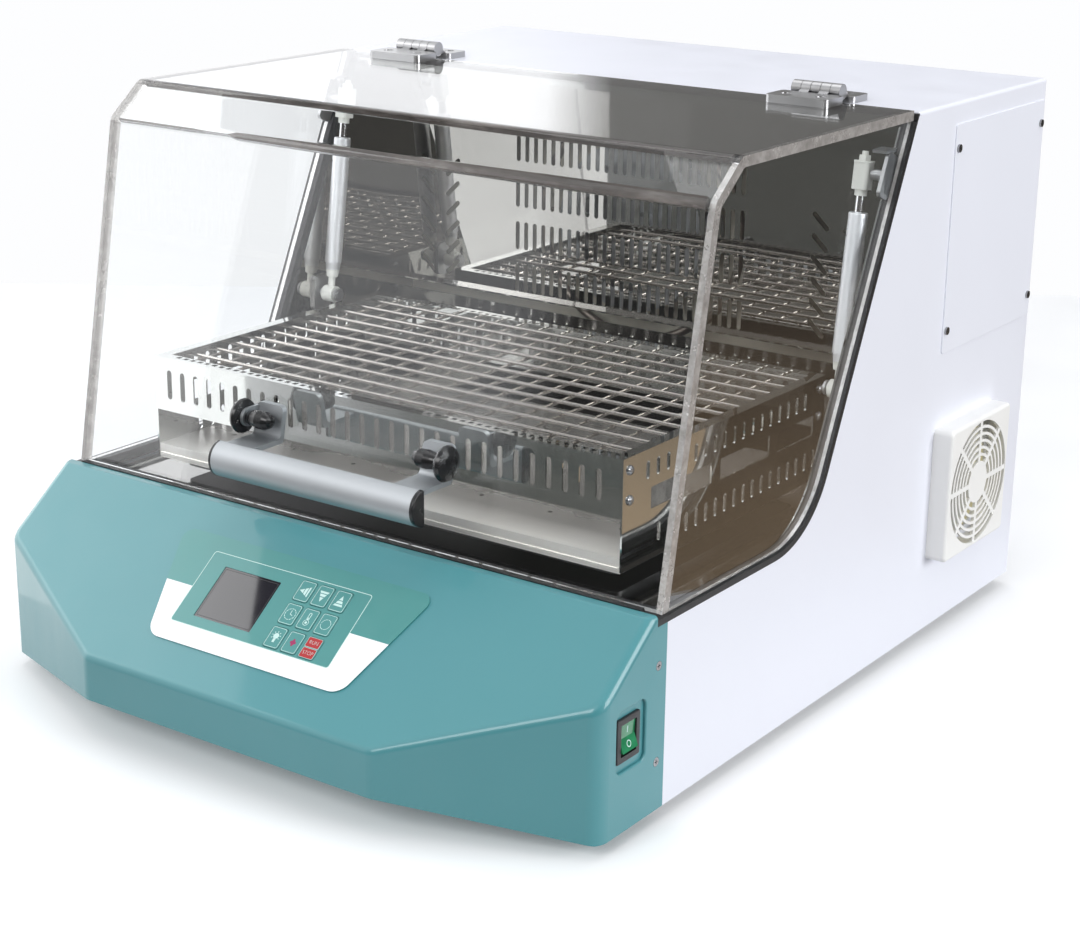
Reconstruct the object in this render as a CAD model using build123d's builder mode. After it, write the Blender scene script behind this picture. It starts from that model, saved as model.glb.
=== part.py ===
from build123d import *
import math
import os

os.makedirs("parts", exist_ok=True)

# =====================================================================
# Incubated benchtop shaker.  Millimetres, +Z up, front towards -Y.
# Working frame while modelling: X = 0 is the middle of the machine, Y = 0
# is the joint between the moulded front panel and the sheet housing,
# Z = 0 is the lower edge of the housing.  Every piece is written in the
# part's own frame, whose origin is the middle of the footprint on the
# surface the feet stand on (SHIFT below).
# =====================================================================

# ---- overall ---------------------------------------------------------
HALF_W = 295.0          # half width over the housing sides
Y_REAR = 600.0          # rear face of the housing
H_TOP = 459.0           # top of the housing
SKIN = 2.0              # housing sheet
FOOT_H = 12.0           # rubber feet
SHIFT = (-9.0, -227.5, FOOT_H)

# ---- side profile of the lid opening (Y, Z) --------------------------
LEDGE_Z = 143.0         # horizontal run of the opening
EDGE_TOP = (353.0, 459.0)
EDGE_LEAN = math.radians(24.8)
EDGE_R = 85.0           # big lower corner

# ---- lid -------------------------------------------------------------
LID_W = 292.0           # half width over the clear side panels
LID_T = 8.0
LID_FRONT = [(-3.0, 148.4), (50.2, 433.0), (84.3, 460.6), (348.0, 460.6)]
HINGE_Y, HINGE_Z = 351.5, 468.6
HINGE_X = 205.0

# ---- front panel -----------------------------------------------------
FP_SIDE_Y = -81.7
FP_MID_Y = -147.0
FP_MID_X = 142.8
FP_TOP = 151.5
FP_LIP_Y = -21.0
SLOPE = math.radians(37.47)
FP_WALL = 3.0

# ---- control panel ---------------------------------------------------
PANEL_X = -8.0
KEY_COLS = [21.0, 38.4, 55.9]
KEY_ROWS = [22.5, 1.0, -20.5]
KEY_W, KEY_H = 14.4, 18.4
LCD = (-62.2, -3.6, -23.4, 24.6)

# ---- chamber ---------------------------------------------------------
LINER_X = 275.0
BAFFLE_Y = 385.0
FLOOR_Z = 138.0
PLENUM_Y = 430.0

# ---- drive -----------------------------------------------------------
ORBIT = 13.0            # eccentric throw, a 26 mm orbit
DRIVE_Y = 193.0         # main shaft
IDLER_X, IDLER_Y = 160.0, 253.0

# ---- tray and rack ---------------------------------------------------
RACK_X = 234.0
RACK_Y0, RACK_Y1 = 35.0, 325.0
RACK_TOP = 242.0
DECK_Z = 166.0

# ---- gas springs -----------------------------------------------------
STRUT_X = 262.0
STRUT_LO = (292.0, 242.0)
STRUT_HI = (316.0, 413.0)

# ---- side fan and switch --------------------------------------------
FAN_Y, FAN_Z = 478.0, 124.0
SW_Y, SW_Z = -46.5, 71.0


def write(piece, name):
    """Place a finished piece in the part's frame, label it and write it."""
    placed = piece.part.moved(Location(SHIFT))
    placed.label = name
    export_step(placed, f"parts/{name}.step")


def edge_path(off, y0, z1):
    """Points of the opening's side profile, moved `off` towards the lid."""
    m = (math.cos(EDGE_LEAN), -math.sin(EDGE_LEAN))      # away from the lid
    u = (math.sin(EDGE_LEAN), math.cos(EDGE_LEAN))
    cz = LEDGE_Z + EDGE_R
    cy = EDGE_TOP[0] - (EDGE_R + (cz - EDGE_TOP[1]) * m[1]) / m[0]
    r = EDGE_R - off
    phi = math.atan2(m[0], -m[1])
    a = (y0, LEDGE_Z + off)
    b = (cy, LEDGE_Z + off)
    mid = (cy + r * math.sin(phi / 2), cz - r * math.cos(phi / 2))
    c = (cy + r * m[0], cz + r * m[1])
    k = (z1 - c[1]) / u[1]
    d = (c[0] + k * u[0], z1)
    return a, b, mid, c, d


def lid_face_y(z):
    """Y of the outer face of the lid's front pane at height z."""
    (y0, z0), (y1, z1) = LID_FRONT[0], LID_FRONT[1]
    return y0 + (y1 - y0) * (z - z0) / (z1 - z0)


def inset(points, d):
    """Open polyline moved d to the right-hand side of its direction."""
    out = []
    n = len(points)
    for i in range(n):
        if i == 0:
            p, q = points[0], points[1]
            l = math.hypot(q[0] - p[0], q[1] - p[1])
            nx, ny = (q[1] - p[1]) / l, -(q[0] - p[0]) / l
            out.append((p[0] + nx * d, p[1] + ny * d))
        elif i == n - 1:
            p, q = points[-2], points[-1]
            l = math.hypot(q[0] - p[0], q[1] - p[1])
            nx, ny = (q[1] - p[1]) / l, -(q[0] - p[0]) / l
            out.append((q[0] + nx * d, q[1] + ny * d))
        else:
            p, q, s = points[i - 1], points[i], points[i + 1]
            l1 = math.hypot(q[0] - p[0], q[1] - p[1])
            l2 = math.hypot(s[0] - q[0], s[1] - q[1])
            n1 = ((q[1] - p[1]) / l1, -(q[0] - p[0]) / l1)
            n2 = ((s[1] - q[1]) / l2, -(s[0] - q[0]) / l2)
            k = d / (1 + n1[0] * n2[0] + n1[1] * n2[1])
            out.append((q[0] + (n1[0] + n2[0]) * k, q[1] + (n1[1] + n2[1]) * k))
    return out


ty, tz = math.cos(SLOPE), math.sin(SLOPE)
SLOPE_O = (FP_SIDE_Y, FP_TOP - (FP_LIP_Y - FP_SIDE_Y) * math.tan(SLOPE))
slope_plane = Plane(origin=(PANEL_X, SLOPE_O[0], SLOPE_O[1]), x_dir=(1, 0, 0), z_dir=(0, -tz, ty))


def slope_z(y):
    return SLOPE_O[1] + (y - SLOPE_O[0]) * math.tan(SLOPE)


# =====================================================================
# 1  Base and housing
# =====================================================================
with BuildPart() as base_pan:
    with BuildSketch(Plane.XY):
        with Locations((0, 299.5)):
            Rectangle(585, 596)
    extrude(amount=24)
    with BuildSketch(Plane.XY.offset(2)):
        with Locations((0, 299.5)):
            Rectangle(581, 592)
    extrude(amount=30, mode=Mode.SUBTRACT)
    # cooling slots under the electronics
    with BuildSketch(Plane.XY):
        with Locations((110, 500)):
            with GridLocations(12, 60, 9, 1):
                SlotOverall(60, 4, rotation=90)
    extrude(amount=2, mode=Mode.SUBTRACT)
    with BuildSketch(Plane.XY):
        with Locations((-225, 60), (225, 60), (-225, 540), (225, 540)):
            Circle(3.2)
    extrude(amount=2, mode=Mode.SUBTRACT)
write(base_pan, "base_pan")

with BuildPart() as feet:
    for fx, fy in [(-225, 60), (225, 60), (-225, 540), (225, 540)]:
        with BuildSketch(Plane.XY):
            with Locations((fx, fy)):
                Circle(19)
        extrude(amount=-FOOT_H, taper=8)
        with BuildSketch(Plane.XY.offset(-FOOT_H)):
            with Locations((fx, fy)):
                Circle(6)
        extrude(amount=5, mode=Mode.SUBTRACT)
        with BuildSketch(Plane.XY):
            with Locations((fx, fy)):
                Circle(3.0)
        extrude(amount=4)
write(feet, "feet")


def side_panel(sign):
    with BuildPart() as panel:
        a, b, mid, c, d = edge_path(0, 0, H_TOP - 3)
        start = HALF_W - SKIN if sign > 0 else -HALF_W
        with BuildSketch(Plane.YZ.offset(start)):
            with BuildLine():
                Line(a, b)
                ThreePointArc(b, mid, c)
                Line(c, d)
                Polyline(d, (Y_REAR, H_TOP - 3), (Y_REAR, 0), (0, 0), a)
            make_face()
        extrude(amount=SKIN)
        if sign > 0:
            with BuildSketch(Plane.YZ.offset(HALF_W - SKIN)):
                with Locations((FAN_Y, FAN_Z)):
                    Circle(52)
                with Locations((512, 344.5)):
                    RectangleRounded(140, 132, 6)
                with Locations((426.5, 421), (592, 421), (592, 267.5), (426.5, 267.5)):
                    Circle(2.2)
            extrude(amount=SKIN, mode=Mode.SUBTRACT)
    return panel


side_panel_left = side_panel(-1)
write(side_panel_left, "side_panel_left")
side_panel_right = side_panel(+1)
write(side_panel_right, "side_panel_right")

INLET_X, INLET_Z = -205.0, 70.0
with BuildPart() as rear_cover:
    # top sheet, its long edges rolled into the sides
    with BuildSketch(Plane.XZ.offset(-353)):
        with Locations((0, H_TOP - 1.5)):
            Rectangle(2 * HALF_W, 3)
    extrude(amount=-(Y_REAR - 353))
    fillet(rear_cover.edges().filter_by(Axis.Y).group_by(Axis.Z)[-1], 2.9)
    # rear sheet
    with BuildSketch(Plane.XZ.offset(-(Y_REAR - SKIN))):
        with Locations((0, (H_TOP - 3) / 2)):
            Rectangle(2 * (HALF_W - SKIN), H_TOP - 3)
    extrude(amount=-SKIN)
    with BuildSketch(Plane.XZ.offset(-Y_REAR)):
        with Locations((INLET_X, INLET_Z)):
            Rectangle(47, 27)
        # warm-air outlet louvres
        with Locations((110, 110)):
            with GridLocations(9, 60, 16, 2):
                SlotOverall(44, 4, rotation=90)
        # door of the motor bay
        with Locations((0, 330)):
            with GridLocations(10, 50, 9, 1):
                SlotOverall(40, 4, rotation=90)
    extrude(amount=SKIN, mode=Mode.SUBTRACT)
write(rear_cover, "rear_cover")

with BuildPart() as access_panel:
    with BuildSketch(Plane.YZ.offset(HALF_W)):
        with Locations((509.5, 344.5)):
            RectangleRounded(177, 193, 3)
    extrude(amount=1.2)
    with BuildSketch(Plane.YZ.offset(HALF_W)):
        with Locations((426.5, 421), (592, 421), (592, 267.5), (426.5, 267.5)):
            Circle(2.2)
    extrude(amount=1.2, mode=Mode.SUBTRACT)
    fillet(access_panel.edges().group_by(Axis.X)[-1].filter_by(GeomType.LINE), 0.5)
write(access_panel, "access_panel")


def cross_screw(plane, head_r=3.4, head_h=1.6, length=7.0):
    """Domed cross-head screw: head above the plane, shank below it."""
    with BuildSketch(plane) as head:
        Circle(head_r)
    with BuildSketch(plane) as shank:
        Circle(2.0)
    with BuildSketch(plane.offset(head_h - 0.8)) as cross:
        Rectangle(head_r * 1.15, 0.8)
        Rectangle(0.8, head_r * 1.15)
    extrude(head.sketch, amount=head_h)
    extrude(shank.sketch, amount=-length)
    extrude(cross.sketch, amount=2, mode=Mode.SUBTRACT)


with BuildPart() as case_screws:
    for sy, sz in [(426.5, 421), (592, 421), (592, 267.5), (426.5, 267.5)]:
        cross_screw(Plane(origin=(HALF_W + 1.2, sy, sz), x_dir=(0, 1, 0), z_dir=(1, 0, 0)), length=6.5)
    for sz in (112.8, 38.4):
        cross_screw(Plane(origin=(HALF_W - 1.6, -10, sz), x_dir=(0, 1, 0), z_dir=(1, 0, 0)), length=6)
        cross_screw(Plane(origin=(-HALF_W + 1.6, -10, sz), x_dir=(0, 1, 0), z_dir=(-1, 0, 0)), length=6)
write(case_screws, "case_screws")

# =====================================================================
# 2  Moulded front panel
# =====================================================================


def front_form(d, r_plan, y_back):
    """The outer form of the front panel, moved inwards by d."""
    hw = HALF_W - d
    # plan outline: sides, angled facets, middle facet
    fx, fy = HALF_W - FP_MID_X, FP_SIDE_Y - FP_MID_Y
    l = math.hypot(fx, fy)
    mid_y = FP_MID_Y + d
    # angled facet moved inwards
    nx, ny = -fy / l, fx / l
    px, py = HALF_W + nx * d, FP_SIDE_Y + ny * d
    dx, dy = -fx / l, -fy / l
    k1 = (hw - px) / dx
    side_pt = (hw, py + k1 * dy)
    k2 = (mid_y - py) / dy
    mid_pt = (px + k2 * dx, mid_y)
    with BuildPart() as form:
        with BuildSketch(Plane.XY):
            with BuildLine():
                Polyline((-hw, y_back), (hw, y_back), side_pt, mid_pt,
                         (-mid_pt[0], mid_pt[1]), (-side_pt[0], side_pt[1]), (-hw, y_back))
            make_face()
            fillet([v for v in vertices() if v.Y < y_back - 1], r_plan)
        extrude(amount=FP_TOP + 20)
        # above the slope, the lip and the ledge behind it
        sh = d / math.cos(SLOPE)
        top = FP_TOP - d
        ledge = LEDGE_Z - 0.0 - d
        y_cross = SLOPE_O[0] + (top + sh - SLOPE_O[1]) / math.tan(SLOPE)
        lip_back = -13.0 - d
        y_far = -260.0
        with BuildSketch(Plane.YZ):
            with BuildLine():
                Polyline((y_far, slope_z(y_far) - sh), (y_cross, top), (lip_back, top),
                         (lip_back, ledge), (y_back + 5, ledge), (y_back + 5, 260), (y_far, 260),
                         (y_far, slope_z(y_far) - sh))
            make_face()
        extrude(amount=320, both=True, mode=Mode.SUBTRACT)
        # underside rising to the middle facet
        rise = math.atan2(18.5, FP_SIDE_Y - FP_MID_Y)
        su = d / math.cos(rise)
        with BuildSketch(Plane.YZ):
            with BuildLine():
                y_s = FP_SIDE_Y + 4
                Polyline((y_back + 5, -10), (y_back + 5, d), (FP_SIDE_Y - (su - d) / math.tan(rise) if d else FP_SIDE_Y, d),
                         (y_far, (FP_SIDE_Y - y_far) * math.tan(rise) + su), (y_far, -10),
                         (y_back + 5, -10))
            make_face()
        extrude(amount=320, both=True, mode=Mode.SUBTRACT)
    return form


outer_form = front_form(0, 16, 0)
inner_form = front_form(FP_WALL, 13, 6)
with BuildPart() as front_panel:
    add(outer_form.part)
    # soften the rim of the slope, then its upper edge
    n_slope = Vector(0, -tz, ty)
    slope_face = [f for f in front_panel.faces() if (f.normal_at() - n_slope).length < 0.01][0]
    rim = [e for e in slope_face.edges() if e.center().Y < FP_LIP_Y - 0.5]
    fillet(rim, 8)
    top_edge = [e for e in front_panel.edges() if abs(e.center().Y - FP_LIP_Y) < 0.6 and abs(e.center().Z - FP_TOP) < 0.6 and e.length > 200]
    if top_edge:
        fillet(top_edge, 3)
    add(inner_form.part, mode=Mode.SUBTRACT)
    # switch recess with its thickened pad
    with BuildSketch(Plane.YZ.offset(286)):
        with Locations((-43.5, 67.5)):
            Rectangle(48, 78)
    extrude(amount=6.4)
    with BuildSketch(Plane.YZ.offset(HALF_W)):
        with Locations((-43.5, 70.5)):
            RectangleRounded(37, 47, 6)
    extrude(amount=-2.5, mode=Mode.SUBTRACT)
    fillet([e for e in front_panel.edges() if abs(e.center().X - HALF_W) < 0.01 and -63 < e.center().Y < -24
            and 46 < e.center().Z < 95], 1.4)
    with BuildSketch(Plane.YZ.offset(HALF_W)):
        with Locations((SW_Y, SW_Z)):
            Rectangle(23.6, 28.6)
    extrude(amount=-12, mode=Mode.SUBTRACT)
    # display window and key field
    with BuildSketch(slope_plane):
        with Locations(((LCD[0] + LCD[1]) / 2, (LCD[2] + LCD[3]) / 2)):
            Rectangle(LCD[1] - LCD[0] + 0.6, LCD[3] - LCD[2] + 0.6)
        with Locations((KEY_COLS[1], KEY_ROWS[1])):
            Rectangle(54, 66)
    extrude(amount=-6, mode=Mode.SUBTRACT)
    # screw holes in the side flanks
    for sz in (112.8, 38.4):
        for sx in (-1, 1):
            with BuildSketch(Plane.YZ.offset(sx * HALF_W)):
                with Locations((-10, sz)):
                    Circle(3.7)
            extrude(amount=-sx * 1.6, mode=Mode.SUBTRACT)
            with BuildSketch(Plane.YZ.offset(sx * HALF_W)):
                with Locations((-10, sz)):
                    Circle(2.2)
            extrude(amount=-sx * 4, mode=Mode.SUBTRACT)
write(front_panel, "front_panel")

# =====================================================================
# 3  Control panel: overlay, display, nine keys, board
# =====================================================================
with BuildPart() as control_overlay:
    with BuildSketch(slope_plane):
        with BuildLine():
            Polyline((-122.4, 48.5), (-91.7, -48.5), (100.9, -48.5), (131.6, 48.5), (-122.4, 48.5))
        make_face()
        fillet([v for v in vertices() if v.Y > 0], 9)
        fillet([v for v in vertices() if v.Y < -45], 15)
        with Locations(((LCD[0] + LCD[1]) / 2, (LCD[2] + LCD[3]) / 2)):
            Rectangle(LCD[1] - LCD[0], LCD[3] - LCD[2], mode=Mode.SUBTRACT)
        for kx in KEY_COLS:
            for ky in KEY_ROWS:
                with Locations((kx, ky)):
                    RectangleRounded(KEY_W + 0.8, KEY_H + 0.8, 2.4, mode=Mode.SUBTRACT)
    extrude(amount=1.0)
write(control_overlay, "control_overlay")

with BuildPart() as display:
    with BuildSketch(slope_plane.offset(-7)):
        with Locations(((LCD[0] + LCD[1]) / 2, (LCD[2] + LCD[3]) / 2)):
            Rectangle(LCD[1] - LCD[0] - 0.2, LCD[3] - LCD[2] - 0.2)
    extrude(amount=7.6)
    chamfer(display.edges().filter_by(lambda e: abs((e.center() - slope_plane.origin).dot(slope_plane.z_dir) - 0.6) < 0.05), 0.2)
write(display, "display")

KEY_NAMES = [["key_left", "key_down", "key_up"],
             ["key_timer", "key_temperature", "key_speed"],
             ["key_lamp", "key_mode", "key_run_stop"]]
for ri, ky in enumerate(KEY_ROWS):
    for ci, kx in enumerate(KEY_COLS):
        with BuildPart() as key:
            with BuildSketch(slope_plane.offset(-1.4)):
                with Locations((kx, ky)):
                    RectangleRounded(KEY_W, KEY_H, 2.0)
            extrude(amount=2.9)
            top_rim = key.edges().filter_by(lambda e: abs((e.center() - slope_plane.origin).dot(slope_plane.z_dir) - 1.5) < 0.05)
            fillet(top_rim, 0.5)
            with BuildSketch(slope_plane.offset(-1.4)):
                with Locations((kx, ky)):
                    Circle(2.5)
            extrude(amount=-5.2)
        write(key, KEY_NAMES[ri][ci])

with BuildPart() as control_board:
    with BuildSketch(slope_plane.offset(-11)):
        with Locations((0, 0)):
            RectangleRounded(170, 84, 3)
    extrude(amount=1.6)
    with BuildSketch(slope_plane.offset(-9.4)):
        with Locations((-78, -36), (78, -36), (-78, 36), (78, 36)):
            Circle(4)
    extrude(amount=6.4)
    # dome switches under the keys
    with BuildSketch(slope_plane.offset(-9.4)):
        for kx in KEY_COLS:
            for ky in KEY_ROWS:
                with Locations((kx, ky)):
                    Rectangle(6, 6)
    extrude(amount=1.6)
    # parts on the back of the board
    with BuildSketch(slope_plane.offset(-11)):
        with Locations((-45, 10)):
            Rectangle(22, 22)
        with Locations((5, -18)):
            Rectangle(30, 9)
        with Locations((50, 15)):
            Rectangle(16, 24)
    extrude(amount=-6)
write(control_board, "control_board")

# =====================================================================
# 4  Mains switch
# =====================================================================
with BuildPart() as switch_bezel:
    with BuildSketch(Plane.YZ.offset(HALF_W - 2.5)):
        with Locations((SW_Y, SW_Z)):
            RectangleRounded(29, 34, 2)
    extrude(amount=2.3)
    fillet(switch_bezel.edges().group_by(Axis.X)[-1], 0.9)
    with BuildSketch(Plane.YZ.offset(HALF_W - 2.5)):
        with Locations((SW_Y, SW_Z)):
            Rectangle(23, 28)
    extrude(amount=-22)
    with BuildSketch(Plane.YZ.offset(HALF_W)):
        with Locations((SW_Y, SW_Z)):
            Rectangle(19.4, 24.4)
    extrude(amount=-17, mode=Mode.SUBTRACT)
    # pivot pin across the housing
    with BuildSketch(Plane.XZ.offset(-SW_Y)):
        with Locations((286, SW_Z)):
            Circle(1.5)
    extrude(amount=10, both=True)
    # terminals
    with BuildSketch(Plane.YZ.offset(HALF_W - 24.5)):
        with Locations((SW_Y - 5, SW_Z - 8), (SW_Y + 5, SW_Z - 8), (SW_Y - 5, SW_Z + 8), (SW_Y + 5, SW_Z + 8)):
            Rectangle(0.8, 6)
    extrude(amount=-9)
write(switch_bezel, "switch_bezel")

TILT = math.radians(8)


def tilted(x, z):
    """Switch-section point, the upper end pressed in."""
    return (286 + x * math.cos(TILT) - z * math.sin(TILT), SW_Z + z * math.cos(TILT) + x * math.sin(TILT))


with BuildPart() as rocker:
    with BuildSketch(Plane.XZ.offset(-(SW_Y + 9.4))):
        with BuildLine():
            Polyline(tilted(-4, -7), tilted(9.2, -10.3), tilted(7.2, 0), tilted(9.2, 10.3), tilted(-4, 7), tilted(-4, -7))
        make_face()
    extrude(amount=18.8)
    with BuildSketch(Plane.XZ.offset(-(SW_Y + 10))):
        with Locations((286, SW_Z)):
            Circle(1.56)
    extrude(amount=20, mode=Mode.SUBTRACT)
write(rocker, "rocker")

# =====================================================================
# 5  Side cooling fan
# =====================================================================
with BuildPart() as fan_guard:
    with BuildSketch(Plane.YZ.offset(HALF_W)):
        with Locations((FAN_Y, FAN_Z)):
            RectangleRounded(118, 118, 5)
    extrude(amount=18)
    fillet(fan_guard.edges().group_by(Axis.X)[-1], 3)
    with BuildSketch(Plane.YZ.offset(HALF_W)):
        with Locations((FAN_Y, FAN_Z)):
            RectangleRounded(112, 112, 4)
    extrude(amount=15, mode=Mode.SUBTRACT)
    with BuildSketch(Plane.YZ.offset(HALF_W + 18)):
        with Locations((FAN_Y, FAN_Z)):
            Circle(55)
    extrude(amount=-6, mode=Mode.SUBTRACT)
    with BuildSketch(Plane.YZ.offset(HALF_W + 15)):
        with Locations((FAN_Y, FAN_Z)):
            for r in (49.2, 43.0, 36.8, 30.6, 24.4):
                Circle(r + 1.25)
                Circle(r - 1.25, mode=Mode.SUBTRACT)
            Circle(18.5)
            with PolarLocations(36.5, 8):
                Rectangle(39, 4.2)
    extrude(amount=2.4)
write(fan_guard, "fan_guard")

with BuildPart() as cooling_fan_frame:
    with BuildSketch(Plane.YZ.offset(HALF_W - SKIN - 15)):
        with Locations((FAN_Y, FAN_Z)):
            RectangleRounded(119, 119, 6)
            Circle(55, mode=Mode.SUBTRACT)
            with GridLocations(105, 105, 2, 2):
                Circle(2.2, mode=Mode.SUBTRACT)
    extrude(amount=15)
    with BuildSketch(Plane.YZ.offset(HALF_W - SKIN - 15)):
        with Locations((FAN_Y, FAN_Z)):
            Circle(20)
            with PolarLocations(37, 4, start_angle=45):
                Rectangle(38, 5)
    extrude(amount=2.5)
    with BuildSketch(Plane.YZ.offset(HALF_W - SKIN - 12.5)):
        with Locations((FAN_Y, FAN_Z)):
            Circle(2.0)
    extrude(amount=9)
write(cooling_fan_frame, "cooling_fan_frame")

with BuildPart() as cooling_fan_rotor:
    with BuildSketch(Plane.YZ.offset(HALF_W - SKIN - 12)):
        with Locations((FAN_Y, FAN_Z)):
            Circle(20)
    extrude(amount=11)
    for k in range(7):
        a = math.radians(360 / 7 * k)
        o = (HALF_W - SKIN - 6.5, FAN_Y + 35 * math.cos(a), FAN_Z + 35 * math.sin(a))
        radial = (0, math.cos(a), math.sin(a))
        tang = Vector(0, -math.sin(a), math.cos(a))
        nrm = (Vector(1, 0, 0) * math.cos(math.radians(26)) + tang * math.sin(math.radians(26)))
        with BuildSketch(Plane(origin=o, x_dir=radial, z_dir=nrm)):
            RectangleRounded(34, 20, 3)
        extrude(amount=0.8, both=True)
    with BuildSketch(Plane.YZ.offset(HALF_W - SKIN - 14)):
        with Locations((FAN_Y, FAN_Z)):
            Circle(2.08)
    extrude(amount=11.6, mode=Mode.SUBTRACT)
write(cooling_fan_rotor, "cooling_fan_rotor")

# =====================================================================
# 6  Lid opening: frame, seal, chamber
# =====================================================================
with BuildPart() as opening_frame:
    # a strip behind each side edge of the opening
    for x0 in (LINER_X, -HALF_W + SKIN):
        a, b, mid, c, d = edge_path(0, 0, 446.9)
        a2, b2, mid2, c2, d2 = edge_path(-2, 0, 446.9)
        with BuildSketch(Plane.YZ.offset(x0)):
            with BuildLine():
                Line(a, b)
                ThreePointArc(b, mid, c)
                Line(c, d)
                Line(d, d2)
                Line(d2, c2)
                ThreePointArc(c2, mid2, b2)
                Line(b2, a2)
                Line(a2, a)
            make_face()
        extrude(amount=HALF_W - SKIN - LINER_X)
    # ledge under the lid's front pane
    with BuildSketch(Plane.XY.offset(LEDGE_Z - 2)):
        with Locations((0, 6)):
            Rectangle(2 * (HALF_W - SKIN), 12)
    extrude(amount=2)
    # front apron down to the floor tray
    with BuildSketch(Plane.XZ.offset(-10.5)):
        with Locations((0, (LEDGE_Z - 2 + FLOOR_Z - 2) / 2)):
            Rectangle(2 * LINER_X, LEDGE_Z - 2 - FLOOR_Z + 2)
    extrude(amount=-1.5)
    # head flange and ceiling
    with BuildSketch(Plane.YZ.offset(-(HALF_W - SKIN))):
        with BuildLine():
            Polyline((353, 456), (353, 446.9), (347.6, 446.9), (347.6, 445.4), (353, 445.4), (353, 440), (384.8, 440),
                     (384.8, 441.5), (354.5, 441.5), (354.5, 456), (353, 456))
        make_face()
    extrude(amount=2 * (HALF_W - SKIN))
write(opening_frame, "opening_frame")

SEAL = 5.0
with BuildPart() as lid_seal:
    for x0 in (279.0, -HALF_W):
        a, b, mid, c, d = edge_path(0.02, -12.8, 452.2)
        a2, b2, mid2, c2, d2 = edge_path(SEAL, -12.8, 452.2)
        with BuildSketch(Plane.YZ.offset(x0)):
            with BuildLine():
                Line(a, b)
                ThreePointArc(b, mid, c)
                Line(c, d)
                Line(d, d2)
                Line(d2, c2)
                ThreePointArc(c2, mid2, b2)
                Line(b2, a2)
                Line(a2, a)
            make_face()
        extrude(amount=16)
    with BuildSketch(Plane.XY.offset(LEDGE_Z + 0.02)):
        with Locations((0, -1.4)):
            Rectangle(590, 22.8)
    extrude(amount=SEAL - 0.02)
    # wiper lip between the panel's edge and the pane
    with BuildSketch(Plane.XY.offset(LEDGE_Z + SEAL)):
        with Locations((0, -10.0)):
            Rectangle(560, 5.6)
    extrude(amount=4.4)
    with BuildSketch(Plane.XZ.offset(-348.5)):
        with Locations((0, 452.5)):
            Rectangle(590, 11)
    extrude(amount=-4.45)
    # the side panels' edges pass beside the head strip
    for x0 in (LINER_X - 0.5, -HALF_W - 1):
        a, b, mid, c, d = edge_path(0.02, 0, 460)
        with BuildSketch(Plane.YZ.offset(x0)):
            with BuildLine():
                Polyline((d[0] - 20 * 0.4621, 440), d, (362, 460), (362, 440), (d[0] - 20 * 0.4621, 440))
            make_face()
        extrude(amount=21.5, mode=Mode.SUBTRACT)
write(lid_seal, "lid_seal")

with BuildPart() as chamber_floor:
    with BuildSketch(Plane.XY.offset(FLOOR_Z - 2)):
        with Locations((0, (12 + PLENUM_Y) / 2)):
            Rectangle(2 * LINER_X, PLENUM_Y - 12)
    extrude(amount=2)
    # rear upstand below the baffle
    with BuildSketch(Plane.XZ.offset(-BAFFLE_Y)):
        with Locations((0, (FLOOR_Z + 234) / 2)):
            Rectangle(2 * LINER_X, 234 - FLOOR_Z)
    extrude(amount=-1.5)
    holes = [(0, DRIVE_Y), (-IDLER_X, IDLER_Y), (IDLER_X, IDLER_Y)]
    with BuildSketch(Plane.XY.offset(FLOOR_Z)):
        with Locations(*holes):
            Circle(32)
    extrude(amount=4)
    with BuildSketch(Plane.XY.offset(FLOOR_Z - 2)):
        with Locations(*holes):
            Circle(29)
    extrude(amount=8, mode=Mode.SUBTRACT)
write(chamber_floor, "chamber_floor")

with BuildPart() as liner_sides:
    for x0 in (LINER_X, -LINER_X - 1.2):
        a, b, mid, c, d = edge_path(-2.05, 100, 440)
        with BuildSketch(Plane.YZ.offset(x0)):
            with BuildLine():
                Line((b[0] - 8, b[1]), b)
                ThreePointArc(b, mid, c)
                Line(c, d)
                Polyline(d, (PLENUM_Y, 440), (PLENUM_Y, FLOOR_Z - 2), (b[0] - 8, FLOOR_Z - 2), (b[0] - 8, b[1]))
            make_face()
        extrude(amount=1.2)
        # slanted air slots ahead of the rear wall
write(liner_sides, "liner_sides")

with BuildPart() as rear_baffle:
    with BuildSketch(Plane.XZ.offset(-BAFFLE_Y)):
        with Locations((0, (246 + 440) / 2)):
            Rectangle(2 * LINER_X, 440 - 246)
        # four rows of upright slots
        with Locations((0, 321)):
            with GridLocations(9.6, 39.5, 25, 4):
                SlotOverall(26, 4.4, rotation=90, mode=Mode.SUBTRACT)
        # chevrons of slanted slots on each side
        for k in range(6):
            zc = 354.0 - 18.5 * k
            with Locations((-219.5, zc), (190.3, zc)):
                SlotOverall(20.5, 4.4, rotation=-43, mode=Mode.SUBTRACT)
            with Locations((-190.3, zc), (219.5, zc)):
                SlotOverall(20.5, 4.4, rotation=43, mode=Mode.SUBTRACT)
    extrude(amount=-1.2)
    # folded lip along the bottom
    with BuildSketch(Plane.XY.offset(244.8)):
        with Locations((0, BAFFLE_Y - 3.4)):
            Rectangle(2 * LINER_X, 9.2)
    extrude(amount=1.2)
write(rear_baffle, "rear_baffle")

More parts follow.
